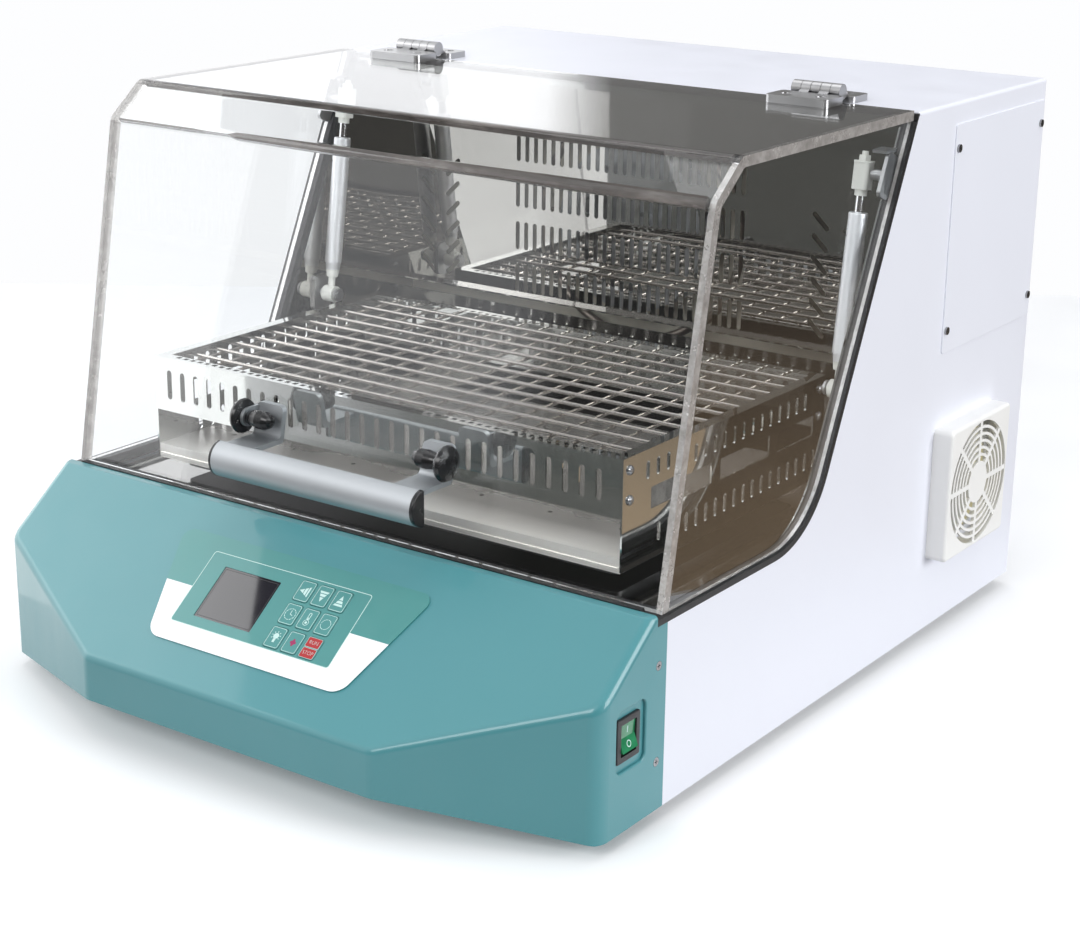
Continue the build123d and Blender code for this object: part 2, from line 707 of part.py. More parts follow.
AIR_Z = 320.0
with BuildPart() as plenum_back:
    with BuildSketch(Plane.XZ.offset(-PLENUM_Y)):
        with Locations((0, (FLOOR_Z - 2 + 455) / 2)):
            Rectangle(2 * 276.2, 455 - FLOOR_Z + 2)
        with Locations((0, AIR_Z)):
            Circle(9, mode=Mode.SUBTRACT)
    extrude(amount=-1.5)
    with BuildSketch(Plane.XY.offset(441.5)):
        with Locations((0, (386.4 + PLENUM_Y) / 2)):
            Rectangle(2 * LINER_X, PLENUM_Y - 386.4)
    extrude(amount=1.5)
    # insulation slab on the back of the plenum
    with BuildSketch(Plane.XZ.offset(-(PLENUM_Y + 1.5))):
        with Locations((0, 300)):
            Rectangle(520, 260)
        with Locations((0, AIR_Z)):
            Circle(44, mode=Mode.SUBTRACT)
    extrude(amount=-20)
write(plenum_back, "plenum_back")

with BuildPart() as heater:
    # ring element around the air mover, with its cold tail
    with Locations(Location((0, 408, AIR_Z), (90, 0, 0))):
        Torus(102, 4)
    with BuildSketch(Plane.XZ.offset(-408)):
        with Locations((102, AIR_Z), (-102, AIR_Z)):
            Circle(3.5)
    extrude(amount=-(PLENUM_Y - 408))
write(heater, "heater")

with BuildPart() as circulation_motor:
    with BuildSketch(Plane.XZ.offset(-(PLENUM_Y + 1.5))):
        with Locations((0, AIR_Z)):
            Circle(42)
    extrude(amount=-52)
    fillet(circulation_motor.edges().group_by(Axis.Y)[-1], 5)
    with BuildSketch(Plane.XZ.offset(-(PLENUM_Y + 1.5))):
        with Locations((0, AIR_Z)):
            Circle(4.06)
    extrude(amount=-42, mode=Mode.SUBTRACT)
write(circulation_motor, "circulation_motor")

with BuildPart() as circulation_rotor:
    # backplate, ring of blades, front ring
    with BuildSketch(Plane.XZ.offset(-421)):
        with Locations((0, AIR_Z)):
            Circle(75)
    extrude(amount=-2)
    with BuildSketch(Plane.XZ.offset(-395)):
        with Locations((0, AIR_Z)):
            Circle(75)
            Circle(58, mode=Mode.SUBTRACT)
    extrude(amount=-2)
    with BuildSketch(Plane.XZ.offset(-397)):
        with Locations((0, AIR_Z)):
            with PolarLocations(66, 24):
                Rectangle(15, 1.6, rotation=32)
    extrude(amount=-24)
    with BuildSketch(Plane.XZ.offset(-405)):
        with Locations((0, AIR_Z)):
            Circle(12)
    extrude(amount=-16)
    with BuildSketch(Plane.XZ.offset(-423)):
        with Locations((0, AIR_Z)):
            Circle(4.0)
    extrude(amount=-40)
write(circulation_rotor, "circulation_rotor")

# =====================================================================
# 7  Rear bay: power supply, inlet
# =====================================================================
with BuildPart() as power_supply:
    with BuildSketch(Plane.XY.offset(2)):
        with Locations((-110, 510)):
            Rectangle(110, 160)
    extrude(amount=50)
    with BuildSketch(Plane.XY.offset(52)):
        with Locations((-110, 510)):
            with GridLocations(10, 40, 9, 3):
                SlotOverall(30, 4, rotation=90)
    extrude(amount=-1.5, mode=Mode.SUBTRACT)
    with BuildSketch(Plane.XZ.offset(-430)):
        with Locations((-110, 14)):
            Rectangle(90, 14)
    extrude(amount=12)
write(power_supply, "power_supply")

with BuildPart() as mains_inlet:
    with BuildSketch(Plane.XZ.offset(-Y_REAR)):
        with Locations((INLET_X, INLET_Z)):
            RectangleRounded(58, 34, 4)
    extrude(amount=-2)
    with BuildSketch(Plane.XZ.offset(-Y_REAR)):
        with Locations((INLET_X, INLET_Z)):
            Rectangle(46.4, 26.4)
    extrude(amount=26)
    with BuildSketch(Plane.XZ.offset(-(Y_REAR + 2))):
        with Locations((INLET_X - 8, INLET_Z)):
            RectangleRounded(24.2, 16.6, 2)
    extrude(amount=17, mode=Mode.SUBTRACT)
    with BuildSketch(Plane.XZ.offset(-(Y_REAR - 15))):
        with Locations((INLET_X - 15, INLET_Z - 2), (INLET_X - 1, INLET_Z - 2), (INLET_X - 8, INLET_Z + 2)):
            Rectangle(2, 4)
    extrude(amount=-9)
    # fuse drawer
    with BuildSketch(Plane.XZ.offset(-(Y_REAR + 2))):
        with Locations((INLET_X + 15, INLET_Z)):
            Rectangle(12, 22)
            Rectangle(10.6, 20.6, mode=Mode.SUBTRACT)
    extrude(amount=0.8, mode=Mode.SUBTRACT)
write(mains_inlet, "mains_inlet")

# =====================================================================
# 8  Lid
# =====================================================================
with BuildPart() as lid_shell:
    outer = LID_FRONT
    inner = inset(outer, LID_T)
    with BuildSketch(Plane.YZ.offset(-LID_W)):
        with BuildLine():
            # bottom edge of the front pane is cut level
            t = (inner[1][0] - inner[0][0]) / (inner[1][1] - inner[0][1])
            bot = (inner[0][0] - t * (inner[0][1] - outer[0][1]), outer[0][1])
            Polyline(outer[0], outer[1], outer[2], outer[3], inner[3], inner[2], inner[1], bot, outer[0])
        make_face()
        fillet([v for v in vertices() if (Vector(v.X, v.Y) - Vector(*outer[1])).length < 0.1 or
                (Vector(v.X, v.Y) - Vector(*outer[2])).length < 0.1], 12)
        fillet([v for v in vertices() if (Vector(v.X, v.Y) - Vector(*inner[1])).length < 0.1 or
                (Vector(v.X, v.Y) - Vector(*inner[2])).length < 0.1], 5)
    extrude(amount=2 * LID_W)
write(lid_shell, "lid_shell")

with BuildPart() as lid_sides:
    for x0 in (LID_W - LID_T, -LID_W):
        a, b, mid, c, d = edge_path(SEAL + 0.4, 30, inner[3][1])
        with BuildSketch(Plane.YZ.offset(x0)):
            with BuildLine():
                start = (lid_face_y(LEDGE_Z + SEAL + 0.4) + LID_T * 1.018 + 0.02, LEDGE_Z + SEAL + 0.4)
                Line(start, b)
                ThreePointArc(b, mid, c)
                Line(c, d)
                Polyline(d, (inner[2][0], inner[3][1]), (inner[1][0] + 0.01, inner[1][1]), start)
            make_face()
            fillet([v for v in vertices() if (Vector(v.X, v.Y) - Vector(inner[1][0] + 0.01, inner[1][1])).length < 0.1 or
                    (Vector(v.X, v.Y) - Vector(inner[2][0], inner[3][1])).length < 0.1], 5.2)
        extrude(amount=LID_T)
write(lid_sides, "lid_sides")

# hinges --------------------------------------------------------------
KN = [(-22.0, -13.4), (-13.0, -4.6), (-4.2, 4.2), (4.6, 13.0), (13.4, 22.0)]
with BuildPart() as hinge_leaves_rear:
    for hx in (-HINGE_X, HINGE_X):
        with BuildSketch(Plane.XY.offset(H_TOP)):
            with Locations((hx, 372)):
                RectangleRounded(56, 27, 4)
        extrude(amount=5.4)
        for k0, k1 in (KN[0], KN[2], KN[4]):
            with BuildSketch(Plane.YZ.offset(hx + k0)):
                with Locations((HINGE_Y, HINGE_Z)):
                    Circle(6.4)
                with BuildLine():
                    Polyline((HINGE_Y + 1, HINGE_Z - 2.2), (HINGE_Y + 1, HINGE_Z + 2.5), (362, 464.3), (362, 461.5), (HINGE_Y + 1, HINGE_Z - 2.2))
                make_face()
            extrude(amount=k1 - k0)
        with BuildSketch(Plane.YZ.offset(hx + KN[0][0])):
            with Locations((HINGE_Y, HINGE_Z)):
                Circle(2.5)
        extrude(amount=44)
        with BuildSketch(Plane.XY.offset(H_TOP + 5.4)):
            with Locations((hx - 16, 375), (hx + 16, 375)):
                Circle(4.5)
        extrude(amount=-2.5, mode=Mode.SUBTRACT)
        with BuildSketch(Plane.XY.offset(H_TOP + 2.9)):
            with Locations((hx - 16, 375), (hx + 16, 375)):
                Circle(4.2)
        extrude(amount=1.8)
write(hinge_leaves_rear, "hinge_leaves_rear")

LID_TOP = LID_FRONT[3][1]
with BuildPart() as hinge_leaves_front:
    for hx in (-HINGE_X, HINGE_X):
        with BuildSketch(Plane.XY.offset(LID_TOP)):
            with Locations((hx, 328)):
                RectangleRounded(56, 30, 4)
        extrude(amount=6.4)
        for k0, k1 in (KN[1], KN[3]):
            with BuildSketch(Plane.YZ.offset(hx + k0)):
                with Locations((HINGE_Y, HINGE_Z)):
                    Circle(6.4)
                with BuildLine():
                    Polyline((HINGE_Y - 1, HINGE_Z + 2.6), (341, 466.9), (341, 462.4), (HINGE_Y - 1, HINGE_Z - 3.4), (HINGE_Y - 1, HINGE_Z + 2.6))
                make_face()
            extrude(amount=k1 - k0)
        with BuildSketch(Plane.YZ.offset(hx - 30)):
            with Locations((HINGE_Y, HINGE_Z)):
                Circle(2.58)
        extrude(amount=60, mode=Mode.SUBTRACT)
        with BuildSketch(Plane.XY.offset(LID_TOP + 6.4)):
            with Locations((hx - 16, 327), (hx + 16, 327)):
                Circle(4.5)
        extrude(amount=-2.5, mode=Mode.SUBTRACT)
        with BuildSketch(Plane.XY.offset(LID_TOP + 3.9)):
            with Locations((hx - 16, 327), (hx + 16, 327)):
                Circle(4.2)
        extrude(amount=1.8)
write(hinge_leaves_front, "hinge_leaves_front")

# handle --------------------------------------------------------------
BAR = 99.0
with BuildPart() as handle_bar:
    with BuildSketch(Plane.YZ.offset(-BAR)):
        with BuildLine():
            Line((-31, 208), (-31, 183))
            ThreePointArc((-31, 183), (-32, 181.4), (-34, 181))
            ThreePointArc((-34, 181), (-46, 195.5), (-34, 210))
            ThreePointArc((-34, 210), (-32, 209.6), (-31, 208))
        make_face()
        with BuildLine():
            Line((-33, 206), (-33, 185))
            ThreePointArc((-33, 185), (-43.6, 195.5), (-33, 206))
        make_face(mode=Mode.SUBTRACT)
    extrude(amount=2 * BAR)
write(handle_bar, "handle_bar")

with BuildPart() as handle_caps:
    for x0 in (-BAR - 3, BAR):
        with BuildSketch(Plane.YZ.offset(x0)):
            with BuildLine():
                Line((-31, 208), (-31, 183))
                ThreePointArc((-31, 183), (-32, 181.4), (-34, 181))
                ThreePointArc((-34, 181), (-46, 195.5), (-34, 210))
                ThreePointArc((-34, 210), (-32, 209.6), (-31, 208))
            make_face()
        extrude(amount=3)
    fillet(handle_caps.edges().group_by(Axis.X)[0], 1.2)
    fillet(handle_caps.edges().group_by(Axis.X)[-1], 1.2)
write(handle_caps, "handle_caps")

KNOB_Y, KNOB_Z = -4.6, 223.0
with BuildPart() as handle_arms:
    for sg in (-1, 1):
        x_out = 98.0
        x0 = 70.0 if sg > 0 else -98.0
        z0, z1, z2 = 203.5, 207.5, 233.0
        with BuildSketch(Plane.YZ.offset(x0)):
            with BuildLine():
                Polyline((-30.95, z0), (lid_face_y(z0) - 1.5, z0), (lid_face_y(z0 + 3) - 0.05, z0 + 3), (lid_face_y(z2) - 0.05, z2),
                         (lid_face_y(z2) - 5, z2), (lid_face_y(z1) - 5, z1), (-30.95, z1), (-30.95, z0))
            make_face()
            fillet([v for v in vertices() if abs(v.Y - z1) < 0.1 and v.X > -20], 4)
        extrude(amount=28)
        fillet([e for e in handle_arms.edges().filter_by(GeomType.LINE) if abs(e.center().Z - z2) < 0.1 and
                abs(e.center().X) < 99 and abs(abs(e.center().X) - 84) > 10 and (e.center().X * sg > 0)], 5)
        # ear that carries the clamp knob
        xe = 95.0 if sg > 0 else -98.0
        with BuildSketch(Plane.YZ.offset(xe)):
            with BuildLine():
                Polyline((KNOB_Y, KNOB_Z - 7.5), (lid_face_y(KNOB_Z) - 3, KNOB_Z - 7.5), (lid_face_y(KNOB_Z) - 3, KNOB_Z + 7.5), (KNOB_Y, KNOB_Z + 7.5), (KNOB_Y, KNOB_Z - 7.5))
            make_face()
            with Locations((KNOB_Y, KNOB_Z)):
                Circle(7.5)
        extrude(amount=3)
        with BuildSketch(Plane.YZ.offset(xe - 1)):
            with Locations((KNOB_Y, KNOB_Z)):
                Circle(4.06)
        extrude(amount=5, mode=Mode.SUBTRACT)
write(handle_arms, "handle_arms")


def knob(sg):
    with BuildPart() as k:
        # flange outside the ear, shaft through it, tapered grip inside
        axis = Axis((0, KNOB_Y, KNOB_Z), (1, 0, 0))
        with BuildSketch(Plane(origin=(0, KNOB_Y, KNOB_Z), x_dir=(sg, 0, 0), z_dir=(0, -sg, 0))):
            with BuildLine():
                Polyline((71, 0), (71, 2.6), (72.6, 5.2), (77, 7.2), (84, 7.6), (90, 6.6), (94.7, 5.4), (94.7, 4.0), (98.3, 4.0),
                         (98.3, 9), (99.5, 13.4), (101.5, 14.2), (104.0, 13.0), (106.0, 8.0), (106.5, 0), (71, 0))
            make_face()
        revolve(axis=axis)
    return k


knob_left = knob(-1)
write(knob_left, "knob_left")
knob_right = knob(+1)
write(knob_right, "knob_right")

# =====================================================================
# 9  Gas springs
# =====================================================================
dy_s, dz_s = STRUT_HI[0] - STRUT_LO[0], STRUT_HI[1] - STRUT_LO[1]
STRUT_L = math.hypot(dy_s, dz_s)
us = (0, dy_s / STRUT_L, dz_s / STRUT_L)

with BuildPart() as strut_mounts_lower:
    for sg in (-1, 1):
        x_wall = sg * LINER_X
        with BuildSketch(Plane.YZ.offset(x_wall)):
            with Locations(STRUT_LO):
                RectangleRounded(22, 32, 4)
        extrude(amount=-sg * 3)
        with BuildSketch(Plane.YZ.offset(x_wall)):
            with Locations(STRUT_LO):
                Circle(4.0)
        extrude(amount=-sg * 24)
        with BuildSketch(Plane.YZ.offset(sg * 253.6)):
            with Locations(STRUT_LO):
                Circle(6.0)
        extrude(amount=-sg * 2)
write(strut_mounts_lower, "strut_mounts_lower")

with BuildPart() as strut_mounts_upper:
    for sg in (-1, 1):
        x_wall = sg * (LID_W - LID_T)
        with BuildSketch(Plane.YZ.offset(x_wall)):
            with Locations(STRUT_HI):
                RectangleRounded(16, 36, 4, rotation=-math.degrees(EDGE_LEAN))
        extrude(amount=-sg * 3)
        # shelf with the ball stud
        with BuildSketch(Plane.XY.offset(STRUT_HI[1] + 18)):
            with Locations((sg * 277.7, STRUT_HI[0] + 3)):
                Rectangle(12.6, 16)
        extrude(amount=2.5)
        with BuildSketch(Plane.YZ.offset(x_wall)):
            with Locations(STRUT_HI):
                Circle(4.2)
        extrude(amount=-sg * 14.0)
write(strut_mounts_upper, "strut_mounts_upper")


def strut_plane(sg, s):
    return Plane(origin=(sg * STRUT_X, STRUT_LO[0] + us[1] * s, STRUT_LO[1] + us[2] * s), x_dir=(1, 0, 0), z_dir=us)


def strut_cylinder(sg):
    with BuildPart() as cyl:
        # ball eye, pin, tapered end, tube
        with BuildSketch(Plane.YZ.offset(sg * STRUT_X - 6)):
            with Locations(STRUT_LO):
                Circle(7.5)
        extrude(amount=12)
        with BuildSketch(strut_plane(sg, 5)):
            Circle(3.2)
        extrude(amount=13)
        with BuildSketch(strut_plane(sg, 16)):
            Circle(5.2)
        with BuildSketch(strut_plane(sg, 30)):
            Circle(7.2)
        loft()
        with BuildSketch(strut_plane(sg, 29.5)):
            Circle(7.7)
        extrude(amount=112.5)
        fillet([e for e in cyl.edges().filter_by(GeomType.CIRCLE) if (e.arc_center - strut_plane(sg, 142).origin).length < 0.3], 1.5)
        # rolled groove near the rod end
        with BuildSketch(strut_plane(sg, 122)):
            Circle(9)
            Circle(7.3, mode=Mode.SUBTRACT)
        extrude(amount=1.4, mode=Mode.SUBTRACT)
        with BuildSketch(strut_plane(sg, 40)):
            Circle(3.38)
        extrude(amount=108, mode=Mode.SUBTRACT)
        with BuildSketch(Plane.YZ.offset(sg * STRUT_X - 10)):
            with Locations(STRUT_LO):
                Circle(4.06)
        extrude(amount=20, mode=Mode.SUBTRACT)
    return cyl


def strut_rod(sg):
    with BuildPart() as rod:
        with BuildSketch(strut_plane(sg, 60)):
            Circle(3.3)
        extrude(amount=98)
        # collar, nylon block on the pivot pin, washer, nut and stud end
        with BuildSketch(strut_plane(sg, 155)):
            Circle(5.0)
        extrude(amount=6)
        with BuildSketch(strut_plane(sg, 160)):
            RectangleRounded(13.5, 13, 3)
        extrude(amount=21)
        with BuildSketch(strut_plane(sg, 181)):
            Circle(8.2)
        extrude(amount=1.4)
        with BuildSketch(strut_plane(sg, 182.4)):
            RegularPolygon(5.0, 6)
        extrude(amount=4.4)
        with BuildSketch(strut_plane(sg, 186)):
            Circle(2.6)
        extrude(amount=4)
    return rod


strut_cylinder_left = strut_cylinder(-1)
write(strut_cylinder_left, "strut_cylinder_left")
strut_cylinder_right = strut_cylinder(+1)
write(strut_cylinder_right, "strut_cylinder_right")
strut_rod_left = strut_rod(-1)
write(strut_rod_left, "strut_rod_left")
strut_rod_right = strut_rod(+1)
write(strut_rod_right, "strut_rod_right")

# =====================================================================
# 10  Orbital drive
# =====================================================================
with BuildPart() as drive_motor:
    with BuildSketch(Plane.XY.offset(2)):
        with Locations((0, DRIVE_Y)):
            Rectangle(130, 130)
    extrude(amount=8)
    with BuildSketch(Plane.XY.offset(10)):
        with Locations((0, DRIVE_Y)):
            Circle(60)
    extrude(amount=52)
    fillet(drive_motor.edges().group_by(Axis.Z)[-1], 5)
    with BuildSketch(Plane.XY.offset(62)):
        with Locations((0, DRIVE_Y)):
            Circle(8.06)
    extrude(amount=-36, mode=Mode.SUBTRACT)
write(drive_motor, "drive_motor")

with BuildPart() as drive_frame:
    with BuildSketch(Plane.XY.offset(100)):
        with Locations((0, 213)):
            Rectangle(420, 236)
        with Locations((-115, 165), (115, 165)):
            RectangleRounded(120, 90, 10, mode=Mode.SUBTRACT)
        with Locations((0, 290)):
            RectangleRounded(150, 50, 10, mode=Mode.SUBTRACT)
    extrude(amount=6)
    with BuildSketch(Plane.XY.offset(2)):
        with Locations((-195, 110), (195, 110), (-195, 316), (195, 316)):
            Rectangle(18, 18)
    extrude(amount=98)
    bosses = [(0, DRIVE_Y), (-IDLER_X, IDLER_Y), (IDLER_X, IDLER_Y)]
    with BuildSketch(Plane.XY.offset(72)):
        with Locations(*bosses):
            Circle(24)
    extrude(amount=44)
    with BuildSketch(Plane.XY.offset(72)):
        with Locations(bosses[0]):
            Circle(8.06)
        with Locations(bosses[1], bosses[2]):
            Circle(7.06)
    extrude(amount=44, mode=Mode.SUBTRACT)
write(drive_frame, "drive_frame")

with BuildPart() as main_crank:
    with BuildSketch(Plane.XY.offset(30)):
        with Locations((0, DRIVE_Y)):
            Circle(8.0)
    extrude(amount=90)
    with BuildSketch(Plane.XY.offset(118)):
        with Locations((0, DRIVE_Y)):
            Circle(26)
        # counterweight opposite the pin
        with Locations((0, DRIVE_Y)):
            Circle(48)
            with Locations((0, -26)):
                Rectangle(110, 48, mode=Mode.SUBTRACT)
            Circle(26)
    extrude(amount=12)
    with BuildSketch(Plane.XY.offset(128)):
        with Locations((0, DRIVE_Y - ORBIT)):
            Circle(9.0)
    extrude(amount=26)
write(main_crank, "main_crank")


def idler(sg):
    with BuildPart() as crank:
        with BuildSketch(Plane.XY.offset(66)):
            with Locations((sg * IDLER_X, IDLER_Y)):
                Circle(7.0)
        extrude(amount=54)
        with BuildSketch(Plane.XY.offset(118)):
            with Locations((sg * IDLER_X, IDLER_Y)):
                Circle(25)
        extrude(amount=12)
        with BuildSketch(Plane.XY.offset(128)):
            with Locations((sg * IDLER_X, IDLER_Y - ORBIT)):
                Circle(7.0)
        extrude(amount=26)
    return crank


idler_left = idler(-1)
write(idler_left, "idler_left")
idler_right = idler(+1)
write(idler_right, "idler_right")

# =====================================================================
# 11  Shaken platform and rack
# =====================================================================
pin0 = (0, DRIVE_Y - ORBIT)
pin1 = (-IDLER_X, IDLER_Y - ORBIT)
pin2 = (IDLER_X, IDLER_Y - ORBIT)
with BuildPart() as platform_carrier:
    with BuildSketch(Plane.XY.offset(145)):
        with Locations((0, 180)):
            RectangleRounded(440, 256, 8)
    extrude(amount=8)
    with BuildSketch(Plane.XY.offset(153)):
        with Locations((0, 66), (0, 294)):
            Rectangle(420, 18)
        with Locations((-201, 180), (201, 180)):
            Rectangle(18, 246)
        with Locations(pin0, pin1, pin2):
            Circle(20)
    extrude(amount=11.4)
    with BuildSketch(Plane.XY.offset(145)):
        with Locations(pin0):
            Circle(9.06)
        with Locations(pin1, pin2):
            Circle(7.5)
    extrude(amount=12, mode=Mode.SUBTRACT)
write(platform_carrier, "platform_carrier")

with BuildPart() as platform_deck:
    with BuildSketch(Plane.XY.offset(DECK_Z - 12)):
        with Locations((0, 180)):
            Rectangle(2 * (RACK_X - 1.6), 289)
    extrude(amount=12)
    with BuildSketch(Plane.XY.offset(DECK_Z - 12)):
        with Locations((0, 180)):
            Rectangle(2 * (RACK_X - 3.2), 285.8)
    extrude(amount=10.4, mode=Mode.SUBTRACT)
    # second fold of the front and rear lips
    with BuildSketch(Plane.YZ.offset(-(RACK_X - 3.2))):
        with Locations((35.3, 157.5), (324.7, 157.5)):
            Rectangle(1.6, 2.0)
    extrude(amount=2 * (RACK_X - 3.2))
    # fixing holes for clamps
    with BuildSketch(Plane.XY.offset(DECK_Z)):
        with Locations((0, 180)):
            with GridLocations(66, 60, 7, 4):
                Circle(2.2)
    extrude(amount=-1.6, mode=Mode.SUBTRACT)
write(platform_deck, "platform_deck")

with BuildPart() as rack_frame:
    # side plates
    for sg in (-1, 1):
        x0 = RACK_X - 1.5 if sg > 0 else -RACK_X
        with BuildSketch(Plane.YZ.offset(x0)):
            with Locations((180, (155 + RACK_TOP) / 2)):
                Rectangle(290, RACK_TOP - 155)
            with Locations((180, 226)):
                with GridLocations(14, 1, 17, 1):
                    SlotOverall(14, 4.6, rotation=90, mode=Mode.SUBTRACT)
            with Locations((197, 174)):
                with GridLocations(14, 1, 17, 1):
                    SlotOverall(15, 4.6, rotation=90, mode=Mode.SUBTRACT)
            with Locations((110.5, 203)):
                Rectangle(75, 17, mode=Mode.SUBTRACT)
            with Locations((198.5, 203)):
                Rectangle(75, 17, mode=Mode.SUBTRACT)
            with Locations((277.8, 203)):
                Rectangle(58.4, 17, mode=Mode.SUBTRACT)
        extrude(amount=1.5)
        # folded top rim
        with BuildSketch(Plane.XY.offset(RACK_TOP - 1.5)):
            with Locations((sg * (RACK_X - 5), 180)):
                Rectangle(10, 290)
        extrude(amount=1.5)
        # folded ends behind the strips
        for yy in (38.0, 322.0):
            with BuildSketch(Plane.XY.offset(197)):
                with Locations((sg * (RACK_X - 6), yy)):
                    Rectangle(12, 1.4)
            extrude(amount=RACK_TOP - 197.8)
    # front and rear strips
    for yy in (RACK_Y0, RACK_Y1 - 1.5):
        with BuildSketch(Plane.XZ.offset(-yy)):
            with Locations((0, (196 + RACK_TOP) / 2)):
                Rectangle(2 * RACK_X - 3.02, RACK_TOP - 196)
            with Locations((-2.5, 219)):
                with GridLocations(14.85, 1, 30, 1):
                    SlotOverall(25, 5.2, rotation=90, mode=Mode.SUBTRACT)
        extrude(amount=-1.5)
        inner_y = yy + 1.5 + 4.5 if yy < 100 else yy - 4.5
        with BuildSketch(Plane.XY.offset(RACK_TOP - 1.5)):
            with Locations((0, inner_y)):
                Rectangle(2 * RACK_X - 20.1, 9)
            with Locations((0, inner_y + (0.6 if yy < 100 else -0.6))):
                with GridLocations(8, 1, 54, 1):
                    Rectangle(4.4, 4.6, mode=Mode.SUBTRACT)
        extrude(amount=1.5)
    # domed rivets through the side plates
    for sg in (-1, 1):
        for yy in (44.0, 316.0):
            for zz in (232.0, 209.0):
                for x0, r, height, draft in ((-0.6, 3.9, 1.3, 0), (0.6, 3.4, 1.1, 22), (1.6, 2.9, 0.9, 50)):
                    with BuildSketch(Plane(origin=(sg * (RACK_X + x0), yy, zz), z_dir=(sg, 0, 0))):
                        Circle(r)
                    extrude(amount=height, taper=draft)
write(rack_frame, "rack_frame")


WIRE = 1.6          # long wires
WIRE_Y = 1.4        # short wires
with BuildPart() as rack_wires:
    # long wires across the rack
    for k in range(12):
        yy = 48.0 + 24.0 * k
        with BuildSketch(Plane.YZ.offset(-(RACK_X - 1.6))):
            with Locations((yy, 236.6)):
                Circle(WIRE)
        extrude(amount=2 * (RACK_X - 1.6))
    # short wires front to back, tucked under the long ones
    for k in range(19):
        xx = -216.0 + 24.0 * k
        with BuildSketch(Plane.XZ.offset(-36.6)):
            with Locations((xx, 236.6 - WIRE - WIRE_Y + 0.1)):
                Circle(WIRE_Y)
        extrude(amount=-286.8)
write(rack_wires, "rack_wires")
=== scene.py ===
import bpy
import bmesh
import math
from mathutils import Matrix, Vector


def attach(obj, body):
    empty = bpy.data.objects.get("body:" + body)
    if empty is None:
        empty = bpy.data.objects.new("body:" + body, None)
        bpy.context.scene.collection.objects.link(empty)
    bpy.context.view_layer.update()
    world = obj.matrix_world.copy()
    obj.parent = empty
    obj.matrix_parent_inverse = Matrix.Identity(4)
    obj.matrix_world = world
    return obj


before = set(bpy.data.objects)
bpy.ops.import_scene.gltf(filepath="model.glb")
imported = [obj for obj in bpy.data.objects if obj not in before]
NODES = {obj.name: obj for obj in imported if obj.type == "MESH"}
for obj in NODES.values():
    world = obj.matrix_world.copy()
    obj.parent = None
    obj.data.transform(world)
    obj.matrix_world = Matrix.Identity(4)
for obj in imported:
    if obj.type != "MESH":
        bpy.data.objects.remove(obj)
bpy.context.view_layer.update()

# ---------------------------------------------------------------------
# frame: modelling millimetres -> the row's metres
# ---------------------------------------------------------------------
SHIFT = (-9.0, -227.5, 12.0)


def R(x, y, z):
    return Vector(((x + SHIFT[0]) / 1000, (y + SHIFT[1]) / 1000, (z + SHIFT[2]) / 1000))


# ---------------------------------------------------------------------
# camera at the photograph's viewpoint
# ---------------------------------------------------------------------
def make_camera():
    yaw, pitch, roll = math.radians(35.28), math.radians(17.99), math.radians(0.68)
    fwd = Vector((-math.sin(yaw) * math.cos(pitch), math.cos(yaw) * math.cos(pitch), -math.sin(pitch)))
    right = Vector((math.cos(yaw), math.sin(yaw), 0))
    up = right.cross(fwd)
    r2 = right * math.cos(roll) + up * math.sin(roll)
    u2 = up * math.cos(roll) - right * math.sin(roll)
    cam = bpy.data.cameras.new("cam")
    cam.sensor_width = 36
    cam.lens = 73.03
    cam.clip_start, cam.clip_end = 0.05, 60
    ob = bpy.data.objects.new("cam", cam)
    bpy.context.scene.collection.objects.link(ob)
    m = Matrix((r2, u2, -fwd)).transposed().to_4x4()
    m.translation = R(1048.1, -1222.5, 723.3)
    ob.matrix_world = m
    bpy.context.scene.camera = ob


make_camera()


# ---------------------------------------------------------------------
# materials
# ---------------------------------------------------------------------
def srgb(r, g, b):
    def f(c):
        c /= 255.0
        return c / 12.92 if c <= 0.04045 else ((c + 0.055) / 1.055) ** 2.4
    return (f(r), f(g), f(b), 1.0)


